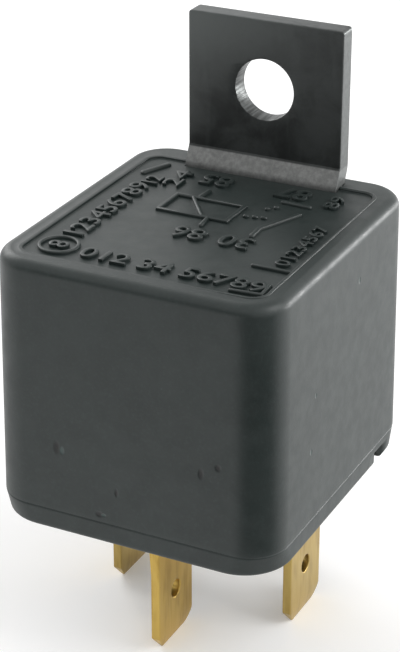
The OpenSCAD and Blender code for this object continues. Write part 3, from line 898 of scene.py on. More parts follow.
def swept_strip(name: str, corners: Sequence[Sequence[float]], radius: float, width: float, thickness: float,
                edge: float, end_corner: float = 0.0, start_corner: float = 0.0,
                side: int = 6) -> bpy.types.Object:
    """Bent strip whose width lies along x, with rounded edges all round.

    A row is the rounded rectangle of the strip's section, set square to the centre line. Close to an end,
    at distance e from it, the row narrows by c - sqrt(c^2 - (c - e)^2), where c is the corner's radius
    across the width and the edge's radius across the thickness, which rounds the end's corners and edge.

    Args:
        name: name of the object.
        corners: y, z points of the centre line, in millimetres.
        radius: radius of its bends.
        width: width of the strip.
        thickness: thickness of the strip.
        edge: radius of its edges.
        end_corner: radius of the corners at the last point.
        start_corner: radius of the corners at the first point.
        side: steps along each side of the section.

    Returns:
        The closed strip.
    """
    line, way = bent_line(corners, radius)
    run = np.concatenate([[0], np.cumsum(np.linalg.norm(np.diff(line, axis=0), axis=1))])
    extra = [edge * (1 - math.cos(t)) for t in np.linspace(0, np.pi / 2, 5)]
    for corner in (end_corner, start_corner):
        extra += [corner * (1 - math.cos(t)) for t in np.linspace(0, np.pi / 2, 8) if corner]
    stops = np.unique(np.round(np.concatenate([run, extra, run[-1] - np.array(extra)]), 6))
    stops = stops[(stops >= 0) & (stops <= run[-1] + 1e-9)]
    place = np.column_stack([np.interp(stops, run, line[:, k]) for k in (0, 1)])
    heading = np.column_stack([np.interp(stops, run, way[:, k]) for k in (0, 1)])
    heading /= np.linalg.norm(heading, axis=1, keepdims=True)
    across = np.column_stack([-heading[:, 1], heading[:, 0]])

    def shrink(distance: np.ndarray, corner: float) -> np.ndarray:
        """How far a side stands in from its full reach near an end.

        Args:
            distance: distance of each row from the end.
            corner: radius there, or 0 for a square end.

        Returns:
            The inset of each row.
        """
        if not corner:
            return np.zeros_like(distance)
        inside = np.clip(corner - distance, 0, corner)
        return corner - np.sqrt(corner**2 - inside**2)

    to_end, to_start = run[-1] - stops, stops
    half_w = width / 2 - shrink(to_end, max(end_corner, edge)) - shrink(to_start, max(start_corner, edge))
    half_t = thickness / 2 - shrink(to_end, edge) - shrink(to_start, edge)
    loops = [rounded_loop(w, t, min(edge, t * 0.999, w * 0.999), 0.0, 4, side)
             for w, t in zip(half_w, half_t)]
    section = np.stack(loops)
    points = np.empty((*section.shape[:2], 3))
    points[:, :, 0] = section[:, :, 0]
    points[:, :, 1:] = place[:, None, :] + section[:, :, 1, None] * across[:, None, :]
    return make_object(name, points.reshape(-1, 3), tube_faces(len(stops), section.shape[1]), 40.0)


def rod(name: str, start: Sequence[float], end: Sequence[float], radius: float,
        sides: int = 64) -> bpy.types.Object:
    """Closed round bar between two points, as a tool for cuts.

    Args:
        name: name of the object.
        start: middle of one end, in millimetres.
        end: middle of the other end.
        radius: radius of the bar.
        sides: points round it.

    Returns:
        The bar.
    """
    a, b = np.array(start, float), np.array(end, float)
    way = (b - a) / np.linalg.norm(b - a)
    u = np.cross(way, [0.3, 0.5, 0.8])
    u /= np.linalg.norm(u)
    v = np.cross(way, u)
    turn = np.linspace(0, 2 * np.pi, sides, endpoint=False)[:, None]
    ring = radius * (np.cos(turn) * u + np.sin(turn) * v)
    return make_object(name, np.concatenate([a + ring, b + ring]), tube_faces(2, sides))


# ---- Housing ---------------------------------------------------------------


HOUSING_TONE = (0.0105, 0.0172, 0.0160)
HOUSING_CLOUD = (0.015, 0.0228, 0.0213)
COVER_NICKS = (
    Nick((-6.39, -14.45, 21.2), 0.42, (1, 0.3, 0.5)),
    Nick((-5.9, -14.47, 21.0), 0.3, (1, 0.3, 0.6), True),
    Nick((-2.5, -14.55, 15.9), 0.36, (0.7, 0.3, 1)),
    Nick((-2.1, -14.55, 15.9), 0.22, (0.7, 0.3, 1), True),
    Nick((-0.86, -14.5, 18.3), 0.26, (1.2, 0.3, 0.5)),
    Nick((6.8, -14.42, 22.0), 0.34, (1, 0.3, 0.5)),
    Nick((8.3, -14.41, 22.9), 0.3, (0.8, 0.3, 0.7)),
    Nick((12.88, -6.7, 21.6), 0.24, (0.3, 1, 0.7), True),
    Nick((12.75, 2.9, 33.0), 0.26, (0.3, 1, 0.7), True),
    Nick((12.85, -5.9, 26.4), 0.2, (0.3, 1, 0.7), True),
)


@dataclass
class CoverShell:
    """Moulded cover: drafted walls, a rounded top edge, a sunk panel and the slot for the bracket."""

    rim_w: float = 26.0
    rim_d: float = 29.2
    rim_z: float = 13.2
    seam_z: float = 15.2
    top_z: float = 37.2
    draft: float = 0.6
    corner_r: float = 3.5
    edge_r: float = 1.0
    wall: float = 1.2
    roof: float = 1.3
    bead: float = 0.09
    panel_depth: float = 0.2
    panel_half_w: float = 10.75
    panel_front: float = -12.35
    panel_rear: float = 11.25
    panel_r: float = 1.2
    slot_half_w: float = 7.3
    slot_front: float = 10.55
    slot_rear: float = 12.55
    finish: MouldedPlastic = field(default_factory=lambda: MouldedPlastic(
        "cover_plastic", HOUSING_TONE, HOUSING_CLOUD, nicks=COVER_NICKS))

    def lean(self, z: float) -> float:
        """How far the walls lean in at height z: the height above the rim times the tangent of the draft."""
        return (z - self.rim_z) * math.tan(math.radians(self.draft))

    def wall_loop(self, z: float, inset: float, radius: float) -> np.ndarray:
        """Loop round the housing at height z, inset from the drafted outer wall."""
        lean = self.lean(z)
        return rounded_loop(self.rim_w / 2 - lean - inset, self.rim_d / 2 - lean - inset, radius)

    def panel_loop(self, inset: float, radius: float) -> np.ndarray:
        """Loop round the sunk panel, inset from its border.

        Args:
            inset: how far in, or out if negative.
            radius: radius of its corners.

        Returns:
            One row of x, y for each point.
        """
        half_d = (self.panel_rear - self.panel_front) / 2
        middle = (self.panel_rear + self.panel_front) / 2
        return rounded_loop(self.panel_half_w - inset, half_d - inset, radius, middle)

    def shell(self) -> bpy.types.Object:
        """Walls, roof and inside of the cover as one closed surface.

        Each row of the grid is a rounded rectangle. Going up the rows follows the section of the moulding:
        the outer wall, a quarter circle round the top edge, the land beside the panel, a fine bead that the
        tool's insert left there (half a turn of bead * sin t, highest on the right), the step down of two
        small arcs, the panel to its middle, and back down the inside to the lower edge.

        Returns:
            The closed shell, before the slot is cut.
        """
        r, top, seam = self.corner_r, self.top_z, self.seam_z
        lip, step, half_bead, fillet = 0.012, 0.07, 0.14, 0.5
        loops, levels = [], []

        def add(loop: np.ndarray, z: float | np.ndarray) -> None:
            """Adds one row."""
            loops.append(loop)
            levels.append(z)

        for t in np.linspace(0, np.pi / 2, 4):
            z = seam + lip * (1 - math.cos(t))
            add(self.wall_loop(z, lip * (1 - math.sin(t)), r - lip * (1 - math.sin(t))), z)
        for z in np.linspace(seam + 0.4, top - self.edge_r - 0.3, 24):
            add(self.wall_loop(z, 0, r), z)
        for t in np.linspace(0, np.pi / 2, 17):
            inset = self.edge_r * (1 - math.cos(t))
            add(self.wall_loop(top, inset, r - inset), top - self.edge_r * (1 - math.sin(t)))
        low = top - self.panel_depth
        for t in np.linspace(np.pi, 0, 9)[:-1]:
            out = step + half_bead * (1 - math.cos(t))
            loop = self.panel_loop(-out, self.panel_r + out)
            share = np.clip(loop[:, 0] / self.panel_half_w, 0.35, 1) ** 2
            add(loop, top + self.bead * math.sin(t) * share)
        for t in np.linspace(0, np.pi / 2, 5):
            add(self.panel_loop(-step * (1 - math.sin(t)), self.panel_r + step * (1 - math.sin(t))),
                top - step * (1 - math.cos(t)))
        for t in np.linspace(0, np.pi / 2, 5):
            add(self.panel_loop(step * (1 - math.cos(t)), self.panel_r - step * (1 - math.cos(t))),
                low + step * (1 - math.sin(t)))
        middle = (self.panel_rear + self.panel_front) / 2
        flat = self.panel_loop(step, self.panel_r - step)
        for share in (0.75, 0.5, 0.25):
            add((flat - [0, middle]) * share + [0, middle], low)
        outer = stacked_loops(loops, levels)
        outer_rows, count = len(loops), len(loops[0])
        loops, levels = [], []
        ceiling = top - self.roof
        for share in (0.3, 0.6):
            add(self.wall_loop(ceiling, self.wall + fillet, r - self.wall - fillet) * share, ceiling)
        for t in np.linspace(0, np.pi / 2, 5):
            inset = self.wall + fillet * (1 - math.sin(t))
            add(self.wall_loop(ceiling, inset, r - inset), ceiling - fillet * (1 - math.cos(t)))
        for z in np.linspace(ceiling - 3, seam, 7):
            add(self.wall_loop(z, self.wall, r - self.wall), z)
        inner = stacked_loops(loops, levels)
        inner_rows = len(loops)
        points = np.concatenate([outer, [[0, middle, low]], [[0, 0, ceiling]], inner])
        pole, cap = outer_rows * count, outer_rows * count + 1
        start = cap + 1
        around = np.arange(count)
        after = (around + 1) % count
        last_outer = (outer_rows - 1) * count
        last_inner = start + (inner_rows - 1) * count
        faces = grid_faces(outer_rows, count, True).tolist()
        faces += (grid_faces(inner_rows, count, True) + start).tolist()
        faces += np.column_stack([last_outer + around, last_outer + after, np.full(count, pole)]).tolist()
        faces += np.column_stack([start + after, start + around, np.full(count, cap)]).tolist()
        faces += np.column_stack([last_inner + around, last_inner + after, after, around]).tolist()
        LOG.info("cover section has %d rows", outer_rows)
        return make_object("cover_shell", points, faces, 50.0)

    def build(self) -> bpy.types.Object:
        """Builds the cover, cuts the bracket's slot and dresses it.

        Returns:
            The cover.
        """
        shell = self.shell()
        slot = block("slot_tool", (-self.slot_half_w, self.slot_front, self.top_z - self.roof - 1),
                     (self.slot_half_w, self.slot_rear, self.top_z + 1))
        cut(shell, slot, 50.0)
        shell.data.materials.clear()
        shell.data.materials.append(self.finish.material())
        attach(shell, Body.HOUSING.value)
        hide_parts("cover")
        LOG.info("%s: %d faces", shell.name, len(shell.data.polygons))
        return shell


# ---- Raised marks on the roof ----------------------------------------------


class Reading(Enum):
    """Side from which a raised numeral is read, as its turn in degrees."""

    FRONT = 0.0
    LEFT = 90.0
    REAR = 180.0


@dataclass(frozen=True)
class Numerals:
    """Raised numerals: text, middle, height and reading side, with the length that a spaced row fills."""

    text: str
    middle: tuple[float, float]
    height: float
    reading: Reading = Reading.FRONT
    length: float = 0.0


@dataclass(frozen=True)
class Stroke:
    """Raised line through points of the roof, in millimetres."""

    path: tuple[tuple[float, float], ...]
    width: float = 0.40
    closed: bool = False


@dataclass
class RoofRelief:
    """Raised wiring sketch, contact numbers and rows of plain numerals on the sunk panel."""

    floor_z: float = 37.0
    height: float = 0.27
    sunk: float = 0.06
    strokes: tuple[Stroke, ...] = (
        Stroke(((-4.6, 0.45), (1.7, 0.45), (1.7, 4.0), (-4.6, 4.0)), closed=True),
        Stroke(((-3.1, 4.0), (-0.5, 0.45))),
        Stroke(((-2.6, 4.0), (-2.5, 5.9))),
        Stroke(((0.0, 0.45), (0.2, -1.2))),
        Stroke(((4.9, -1.4), (4.8, 0.3), (6.6, 4.4)), 0.44),
        Stroke(((4.2, 6.4), (6.7, 6.25)), 0.44),
        Stroke(((2.6, 2.2), (2.75, 2.23))),
        Stroke(((3.35, 2.36), (3.5, 2.39))),
        Stroke(((4.1, 2.5), (4.25, 2.53))),
        Stroke(((3.6, 4.4), (3.7, 4.5))),
        Stroke(((4.15, 5.0), (4.25, 5.1))),
        Stroke(((7.5, -6.66), (10.72, -6.66)), 0.36),
        Stroke(((7.9, -11.7), (10.45, -11.5), (10.35, -9.6)), 0.34),
        Stroke(((-9.65, 7.3), (-8.55, 9.9)), 0.55),
    )
    numerals: tuple[Numerals, ...] = (
        Numerals("86", (0.15, -3.25), 2.2, Reading.REAR),
        Numerals("85", (-2.9, 8.2), 2.2, Reading.REAR),
        Numerals("30", (4.3, -3.2), 2.2, Reading.REAR),
        Numerals("87", (4.3, 8.35), 2.2, Reading.REAR),
        Numerals("012 34 56789", (2.2, -10.35), 1.9, Reading.FRONT, 16.2),
        Numerals("123456789", (-8.35, -1.4), 1.9, Reading.LEFT, 12.4),
        Numerals("12", (-8.0, 5.9), 1.5, Reading.LEFT),
        Numerals("24", (-6.2, 7.2), 1.6, Reading.LEFT, 3.6),
        Numerals("01234567", (9.5, -1.6), 1.3, Reading.LEFT, 8.6),
        Numerals("89", (8.2, 8.0), 1.4, Reading.LEFT, 2.6),
        Numerals("8", (-8.25, -9.95), 1.8, Reading.LEFT),
    )
    ring_middle: tuple[float, float] = (-8.25, -9.95)
    ring_radius: float = 1.6

    def ridge(self, stroke: Stroke) -> bpy.types.Object:
        """Rounded bar along a stroke.

        The section is u = w/2 sgn(cos a) |cos a|^0.6, v = h |sin a|^0.6 for half a turn, closed below the
        panel. It is carried along the path on mitred directions, and at a loose end it shrinks over half a
        width by cos b as it runs out by sin b, which gives a round end.

        Args:
            stroke: the line to raise.

        Returns:
            The closed bar.
        """
        path = np.array(stroke.path, float)
        ring = np.roll(path, -1, axis=0) - path if stroke.closed else np.diff(path, axis=0)
        way = ring / np.linalg.norm(ring, axis=1, keepdims=True)
        left = np.column_stack([-way[:, 1], way[:, 0]])
        if stroke.closed:
            before, after = np.roll(left, 1, axis=0), left
        else:
            before, after = np.vstack([left[:1], left]), np.vstack([left, left[-1:]])
        mitre = (before + after) / (1 + np.sum(before * after, axis=1, keepdims=True))
        reach = np.ones(len(path))
        if not stroke.closed:
            b = np.linspace(np.pi / 2 * 0.98, 0, 6)[:-1]
            out = (np.sin(b) * stroke.width / 2)[:, None]
            head, tail = path[0] - way[0] * out, path[-1] + way[-1] * out[::-1]
            path = np.vstack([head, path, tail])
            mitre = np.vstack([np.repeat(mitre[:1], 5, 0), mitre, np.repeat(mitre[-1:], 5, 0)])
            reach = np.concatenate([np.cos(b), reach, np.cos(b)[::-1]])
        a = np.linspace(0, np.pi, 11)
        u = np.concatenate([np.sign(np.cos(a)) * np.abs(np.cos(a)) ** 0.6, [-1, 1]]) * stroke.width / 2
        v = np.concatenate([self.height * np.sin(a) ** 0.6, [-self.sunk, -self.sunk]])
        points = np.empty((len(path), len(u), 3))
        points[:, :, :2] = path[:, None, :] + (reach[:, None] * u[None, :])[:, :, None] * mitre[:, None, :]
        points[:, :, 2] = self.floor_z + np.where(v > 0, v[None, :] * reach[:, None], v[None, :])
        if stroke.closed:
            points = np.concatenate([points, points[:1]])
            faces = grid_faces(len(points), len(u), True).tolist()
        else:
            faces = tube_faces(len(points), len(u))
        return make_object("stroke", points.reshape(-1, 3), faces, 40.0)

    def raise_text(self, row: Numerals) -> bpy.types.Object:
        """Numerals as a closed bevelled relief, turned and set in place.

        Args:
            row: the numerals and where they go.

        Returns:
            The relief.
        """
        curve = bpy.data.curves.new("numerals", "FONT")
        curve.body = row.text
        curve.resolution_u = 4
        curve.extrude = 0.03
        curve.bevel_depth = 0.014
        curve.bevel_resolution = 1
        writer = bpy.data.objects.new("numerals", curve)
        bpy.context.scene.collection.objects.link(writer)
        graph = bpy.context.evaluated_depsgraph_get()
        mesh = bpy.data.meshes.new_from_object(writer.evaluated_get(graph))
        bpy.data.objects.remove(writer)
        co = np.zeros(len(mesh.vertices) * 3)
        mesh.vertices.foreach_get("co", co)
        co = co.reshape(-1, 3)
        low, high = co.min(0), co.max(0)
        size = row.height / (high[1] - low[1])
        wide = row.length / (high[0] - low[0]) if row.length else size
        flat = (co - (low + high) / 2) * [wide, size, (self.height + self.sunk) / (high[2] - low[2])]
        turn = math.radians(row.reading.value)
        c, s = math.cos(turn), math.sin(turn)
        along, up = flat[:, 0], flat[:, 1]
        placed = np.column_stack([c * along - s * up, s * along + c * up, flat[:, 2]])
        placed += [*row.middle, self.floor_z + (self.height - self.sunk) / 2]
        mesh.vertices.foreach_set("co", (placed * MM).ravel())
        return link_mesh("numerals", mesh, 40.0)

    def build(self, finish: bpy.types.Material) -> bpy.types.Object:
        """Raises every mark and joins them into one piece of the cover.

        Args:
            finish: the cover's plastic.

        Returns:
            The piece.
        """
        turn = np.linspace(0, 2 * np.pi, 48, endpoint=False)
        middle = np.array(self.ring_middle)
        circle = middle + self.ring_radius * np.column_stack([np.cos(turn), np.sin(turn)])
        ring = Stroke(tuple(map(tuple, circle)), 0.34, True)
        marks = [self.ridge(stroke) for stroke in (*self.strokes, ring)]
        marks += [self.raise_text(row) for row in self.numerals]
        relief = joined("roof_relief", marks, 40.0)
        relief.data.materials.append(finish)
        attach(relief, Body.HOUSING.value)
        LOG.info("%s: %d marks, %d faces", relief.name, len(marks), len(relief.data.polygons))
        return relief


# ---- Base ------------------------------------------------------------------


@dataclass
class BasePlate:
    """Moulded base: flange round the rim, sunk underside, plug wall, blade slots and their collars."""

    rim_w: float = 26.0
    rim_d: float = 29.2
    rim_z: float = 13.2
    seam_z: float = 15.2
    plate_z: float = 16.4
    plate_low_z: float = 14.1
    flange_r: float = 3.5
    heel_r: float = 4.3
    edge_r: float = 0.45
    skirt: float = 1.3
    plug_half_w: float = 11.729
    plug_half_d: float = 13.329
    plug_r: float = 2.3
    plug_h: float = 1.1
    blades: tuple[tuple[float, float, bool], ...] = ((8.5, 2.2, False), (-8.5, 2.2, False), (0, -6.5, False),
                                                     (0, 10.7, True))
    notch_y: float = 8.3
    notch_depth: float = 0.8
    notch_half_w: float = 0.9
    notch_rise: float = 1.3

    def body(self) -> bpy.types.Object:
        """The plate as one closed surface of rounded rectangles, from underside to top.

        The radius of the flange's corners falls evenly from heel_r at its lower edge to flange_r at the seam.

        Returns:
            The plate, before its slots are cut.
        """
        hw, hd, r = self.rim_w / 2 - 0.02, self.rim_d / 2 - 0.02, self.flange_r
        loops, levels = [], []

        def add(half_w: float, half_d: float, radius: float, z: float) -> None:
            """Adds one row."""
            loops.append(rounded_loop(half_w, half_d, radius))
            levels.append(z)

        low, rim, sk = self.plate_low_z, self.rim_z, self.skirt
        inner_r, root_r, lip_r = 2.2, 0.2, 0.15
        for t in np.linspace(0, np.pi / 2, 4):
            add(hw - sk - root_r * (1 - math.sin(t)), hd - sk - root_r * (1 - math.sin(t)), inner_r,
                low - root_r * (1 - math.cos(t)))
        for t in np.linspace(0, np.pi / 2, 4):
            inset = sk - lip_r * (1 - math.cos(t))
            add(hw - inset, hd - inset, inner_r + lip_r * (1 - math.cos(t)), rim + lip_r * (1 - math.sin(t)))
        for t in np.linspace(0, np.pi / 2, 9):
            inset = self.edge_r * (1 - math.sin(t))
            add(hw - inset, hd - inset, self.heel_r - inset, rim + self.edge_r * (1 - math.cos(t)))
        for share in np.linspace(0.1, 1, 7):
            z = rim + self.edge_r + (self.seam_z - rim - self.edge_r) * share
            add(hw, hd, self.heel_r + (r - self.heel_r) * share, z)
        pw, pd, pr = self.plug_half_w, self.plug_half_d, self.plug_r
        top = self.plate_z + self.plug_h
        for inset, z in ((0, self.seam_z), (0, top - 0.15), (0.15, top), (0.85, top), (1.0, top - 0.15),
                         (1.0, self.plate_z)):
            add(pw - inset, pd - inset, pr - inset, z)
        rows, count = len(loops), len(loops[0])
        points = np.concatenate([stacked_loops(loops, levels), [[0, 0, low], [0, 0, self.plate_z]]])
        around = np.arange(count)
        after = (around + 1) % count
        last = (rows - 1) * count
        faces = grid_faces(rows, count, True).tolist()
        faces += np.column_stack([after, around, np.full(count, rows * count)]).tolist()
        faces += np.column_stack([last + around, last + after, np.full(count, rows * count + 1)]).tolist()
        return make_object("base_body", points, faces, 40.0)

    def collar(self, x: float, y: float, turned: bool) -> bpy.types.Object:
        """Raised frame round a blade on the underside, with the blade's slot inside.

        Args:
            x: x of the blade, in millimetres.
            y: y of the blade.
            turned: whether its width lies along x.

        Returns:
            The frame.
        """
        half = np.array([1.5, 4.05])
        hole = np.array([0.45, 3.2])
        if turned:
            half, hole = half[::-1], hole[::-1]
        low, high = self.plate_low_z - 0.7, self.plate_low_z + 0.2
        rows = [(hole, 0.05, high), (hole, 0.05, low + 0.15), (hole + 0.15, 0.1, low), (half - 0.2, 0.6, low),
                (half - 0.06, 0.74, low + 0.06), (half, 0.8, low + 0.2), (half, 0.8, high)]
        loops = [rounded_loop(h[0], h[1], r) + [x, y] for h, r, _ in rows]
        points = stacked_loops([*loops, loops[0]], [*(z for _, _, z in rows), rows[0][2]])
        return make_object("collar", points, grid_faces(len(rows) + 1, len(loops[0]), True), 40.0)

    def build(self, finish: bpy.types.Material) -> bpy.types.Object:
        """Builds the plate, cuts its slots and notches, adds collars, barrier and posts, and dresses it.

        Args:
            finish: its plastic.

        Returns:
            The base.
        """
        body = self.body()
        for x, y, turned in self.blades:
            half = (3.2, 0.45) if turned else (0.45, 3.2)
            cut(body, block("slot", (x - half[0], y - half[1], 12), (x + half[0], y + half[1], 18)), 40.0)
        for x in (-self.rim_w / 2, self.rim_w / 2):
            cut(body, block("notch", (x - self.notch_depth, self.notch_y - self.notch_half_w, self.rim_z - 1),
                            (x + self.notch_depth, self.notch_y + self.notch_half_w,
                             self.rim_z + self.notch_rise)), 40.0)
        cut(body, block("stop_slot", (-6.25, 8.35, 14.95), (-3.55, 9.05, 18)), 40.0)
        cut(body, rod("pocket", (3.2, -7.5, 15.8), (3.2, -7.5, 18), 1.6, 32), 40.0)
        parts = [body] + [self.collar(*blade) for blade in self.blades]
        for low, high in (((-5.4, 9.4, 16.35), (5.4, 10.3, 24.4)), ((-6.4, 10.7, 16.35), (-4.2, 12.3, 21.6)),
                          ((4.2, 10.7, 16.35), (6.4, 12.3, 21.6))):
            part = block("guard", low, high)
            soften(part, 0.15)
            parts.append(part)
        base = joined("base_finished", parts, 40.0)
        base.data.materials.append(finish)
        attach(base, Body.HOUSING.value)
        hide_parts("base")
        LOG.info("%s: %d faces", base.name, len(base.data.polygons))
        return base


# ---- Bracket ---------------------------------------------------------------


@dataclass
class Bracket:
    """Steel strip with a joggle above the roof, a screw hole and two ears at its lower end."""

    width: float = 14.5
    thickness: float = 1.8
    leg_y: float = 11.5
    plate_y: float = 12.3
    low_z: float = 21.6
    joggle_low: float = 37.0
    joggle_high: float = 38.7
    top_z: float = 51.1
    hole_z: float = 44.9
    hole_r: float = 2.75
    ear_reach: float = 0.9
    ear_h: float = 2.4

    def build(self) -> bpy.types.Object:
        """Bends the strip, punches its hole, adds the ears and dresses it.

        Returns:
            The bracket.
        """
        path = ((self.leg_y, self.low_z), (self.leg_y, self.joggle_low), (self.plate_y, self.joggle_high),
                (self.plate_y, self.top_z))
        strip = swept_strip("strip", path, 0.95, self.width, self.thickness, 0.09, 0.32, 0.0, side=8)
        punch = rod("punch", (0, self.plate_y - 3, self.hole_z), (0, self.plate_y + 3, self.hole_z),
                    self.hole_r, 96)
        cut(strip, punch)
        soften(strip, 0.10, 3, 50.0)
        ears = swept_strip("ears", ((self.leg_y, self.low_z), (self.leg_y, self.low_z + self.ear_h)), 1.0,
                           self.width + 2 * self.ear_reach, self.thickness, 0.11)
        bracket = joined("bracket_finished", [strip, ears], 32.0)
        finish = BlackenedSteel("bracket_steel", self.width / 2, self.joggle_low, self.joggle_high,
                                self.top_z, (0, self.plate_y, self.hole_z), self.hole_r)
        bracket.data.materials.append(finish.material())
        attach(bracket, Body.HOUSING.value)
        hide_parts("bracket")
        LOG.info("%s: %d faces", bracket.name, len(bracket.data.polygons))
        return bracket


# ---- Blades ----------------------------------------------------------------


@dataclass
class Blade:
    """Flat terminal blade with a lock hole, a coined tip and rounded edges."""

    name: str
    x: float
    y: float
    turned: bool = False
    swelling: float = 0.0
    width: float = 6.3
    thickness: float = 0.8
    top_z: float = 16.4
    hole_z: float = 4.9
    hole_r: float = 0.82
    nose: tuple[float, float] = (1.1, 1.3)
    heel_r: float = 1.3
    edge: float = 0.09
    tip_half: float = 0.1445
    tip_slope: float = 0.2126
    swell_levels: tuple[float, ...] = (7.7, 9.6, 12.0, 13.3, 13.35)
    swell_shares: tuple[float, ...] = (0, 0.35, 0.86, 1, 0)

    def planes(self) -> np.ndarray:
        """Sides of the outline as unit normal and distance from the lock hole: across, up, distance.

        Returns:
            One row for each side.
        """
        half, low, high = self.width / 2, self.hole_z, self.top_z - self.hole_z
        slope = np.array([-self.nose[1], -self.nose[0]]) / math.hypot(*self.nose)
        nose_point = np.array([-half, self.nose[1] - low])
        rows = [(1, 0, half), (-1, 0, half), (0, 1, high), (0, -1, low), (*slope, float(slope @ nose_point))]
        centre = np.array([half - self.heel_r, self.heel_r - low])
        for a in np.radians(np.linspace(-81, -9, 9)):
            n = np.array([math.cos(a), math.sin(a)])
            rows.append((*n, float(n @ centre) + self.heel_r))
        return np.array(rows)

    def reach(self, angle: np.ndarray, inset: float) -> np.ndarray:
        """Distance from the lock hole to the outline, moved in by inset, along each angle.

        It is the least of (distance - inset) / (normal . direction) over the sides that face that way.

        Args:
            angle: the angles.
            inset: how far the outline is moved in, in millimetres.

        Returns:
            The distance for each angle.
        """
        planes = self.planes()
        facing = planes[:, :1] * np.cos(angle) + planes[:, 1:2] * np.sin(angle)
        with np.errstate(divide="ignore"):
            far = np.where(facing > 1e-6, (planes[:, 2:] - inset) / np.maximum(facing, 1e-9), np.inf)
        return far.min(axis=0)

    def half_thickness(self, z: np.ndarray) -> np.ndarray:
        """Half the thickness at height z: full above, and thinned in a straight slope over the coined tip."""
        return np.minimum(self.thickness / 2, self.tip_half + self.tip_slope * np.maximum(z, 0))

    def corners(self) -> np.ndarray:
        """Angles of the outline's corners, seen from the lock hole.

        Returns:
            The angles.
        """
        half, low, high = self.width / 2, self.hole_z, self.top_z - self.hole_z
        spots = np.array([[half, high], [-half, high],
                          [-half, self.nose[1] - low], [self.nose[0] - half, -low]])
        return np.arctan2(spots[:, 1], spots[:, 0])

    def sheet(self) -> bpy.types.Object:
        """Blade as a grid that closes both ways, like a ring round the lock hole.

        One parameter is the angle round the lock hole. The other runs out over the front face from the hole
        to the outline, round the edge, back over the rear face and through the hole.

        Returns:
            The closed blade, in place.
        """
        angle = np.sort(np.concatenate([np.linspace(-np.pi, np.pi, 168, endpoint=False), self.corners()]))
        edge, hole = self.edge, self.hole_r
        quarter = np.linspace(0, np.pi / 2, 4)
        rows = []
        for t in quarter[::-1]:
            rows.append((hole + edge * (1 - math.sin(t)), edge * (1 - math.cos(t))))
        front = [(np.full_like(angle, a), b) for a, b in rows]
        inner, outer = hole + edge, self.reach(angle, edge)
        for share in (0.04, 0.12, 0.25, 0.5, 0.75, 0.9):
            front.append((inner + (outer - inner) * share, 0.0))
        for t in quarter:
            front.append((self.reach(angle, edge * (1 - math.sin(t))), edge * (1 - math.cos(t))))
        rings = []
        for side, order in ((1, front), (-1, front[::-1])):
            for distance, drop in order:
                across = distance * np.cos(angle)
                z = self.hole_z + distance * np.sin(angle)
                half = self.half_thickness(z) - drop
                if side < 0:
                    half = half + self.swelling * np.interp(z, self.swell_levels, self.swell_shares)
                rings.append(np.column_stack([side * half, across, z]))
        points = np.concatenate([*rings, rings[0]])
        if self.turned:
            points = points[:, [1, 0, 2]] * [-1, 1, 1]
        points = points + [self.x, self.y, 0]
        return make_object(self.name, points, grid_faces(len(rings) + 1, len(angle), True), 32.0)


@dataclass
class Terminals:
    """The four terminals: blades below the base, and the feet, posts and arm that they end in inside."""

    foot_y: float = -7.5
    plate_z: float = 16.4
    yoke_z: float = 17.2
    coil_y: float = 2.2

    def place(self, name: str, parts: list, finish: bpy.types.Material, slot: str) -> bpy.types.Object:
        """Joins the parts of one terminal, dresses it and lets it stand for its node.

        Args:
            name: name of the node.
            parts: the mesh objects.
            finish: its brass.
            slot: not used.

        Returns:
            The terminal.
        """
        thing = joined(name + "_finished", parts, 32.0)
        thing.data.materials.append(finish)
        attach(thing, Body.HOUSING.value)
        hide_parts(name)
        LOG.info("%s: %d faces", thing.name, len(thing.data.polygons))
        return thing

    def coil_terminal(self, name: str, x: float, finish: bpy.types.Material) -> None:
        """Blade of the coil with its shoulder and the post that the wire is wound on.

        Args:
            name: name of the node.
            x: x of the blade, in millimetres.
            finish: its brass.
        """
        shoulder = block("shoulder", (x - 0.4, self.coil_y - 2.2, self.plate_z - 0.1),
                         (x + 0.4, self.coil_y + 2.2, self.plate_z + 1))
        post = block("post", (x - 0.4, self.coil_y - 0.6, self.plate_z), (x + 0.4, self.coil_y + 0.6, 22.2))
        for part in (shoulder, post):
            soften(part, 0.08, 2)
        self.place(name, [Blade(name, x, self.coil_y).sheet(), shoulder, post], finish, "coil_blade_brass")

    def build(self) -> None:
        """Builds the four terminals."""
        load = StampedBrass("load_brass").material()
        duller = StampedBrass("coil_brass", (0.46, 0.335, 0.115), (0.28, 0.185, 0.052), (0.60, 0.46, 0.20))
        coil = duller.material()
        self.coil_terminal("terminal_85", 8.5, coil)
        self.coil_terminal("terminal_86", -8.5, coil)
        foot = block("foot", (-0.4, self.foot_y - 1.9, self.plate_z), (5.4, self.foot_y + 1.9, self.yoke_z))
        cut(foot, rod("rivet_hole", (3.2, self.foot_y, 15), (3.2, self.foot_y, 18), 0.95, 48))
        neck = block("neck", (-0.4, self.foot_y - 1.9, 15.9), (0.4, self.foot_y + 1.9, self.plate_z + 0.1))
        for part in (foot, neck):
            soften(part, 0.08, 2)
        blade = Blade("terminal_30", 0, -6.5, swelling=0.35).sheet()
        self.place("terminal_30", [blade, foot, neck], load, "load_brass")
        path = ((10.7, 14.9), (10.7, 16.8), (8.7, 16.8), (8.7, 30.9), (5.5, 30.9))
        arm = swept_strip("arm", path, 0.7, 4.8, 0.8, 0.08)
        cut(arm, rod("contact_hole", (0, 7.2, 29), (0, 7.2, 33), 0.85, 48))
        blade = Blade("terminal_87", 0, 10.7, turned=True).sheet()
        self.place("terminal_87", [blade, arm], load, "load_brass")


# ---- Inner works -----------------------------------------------------------


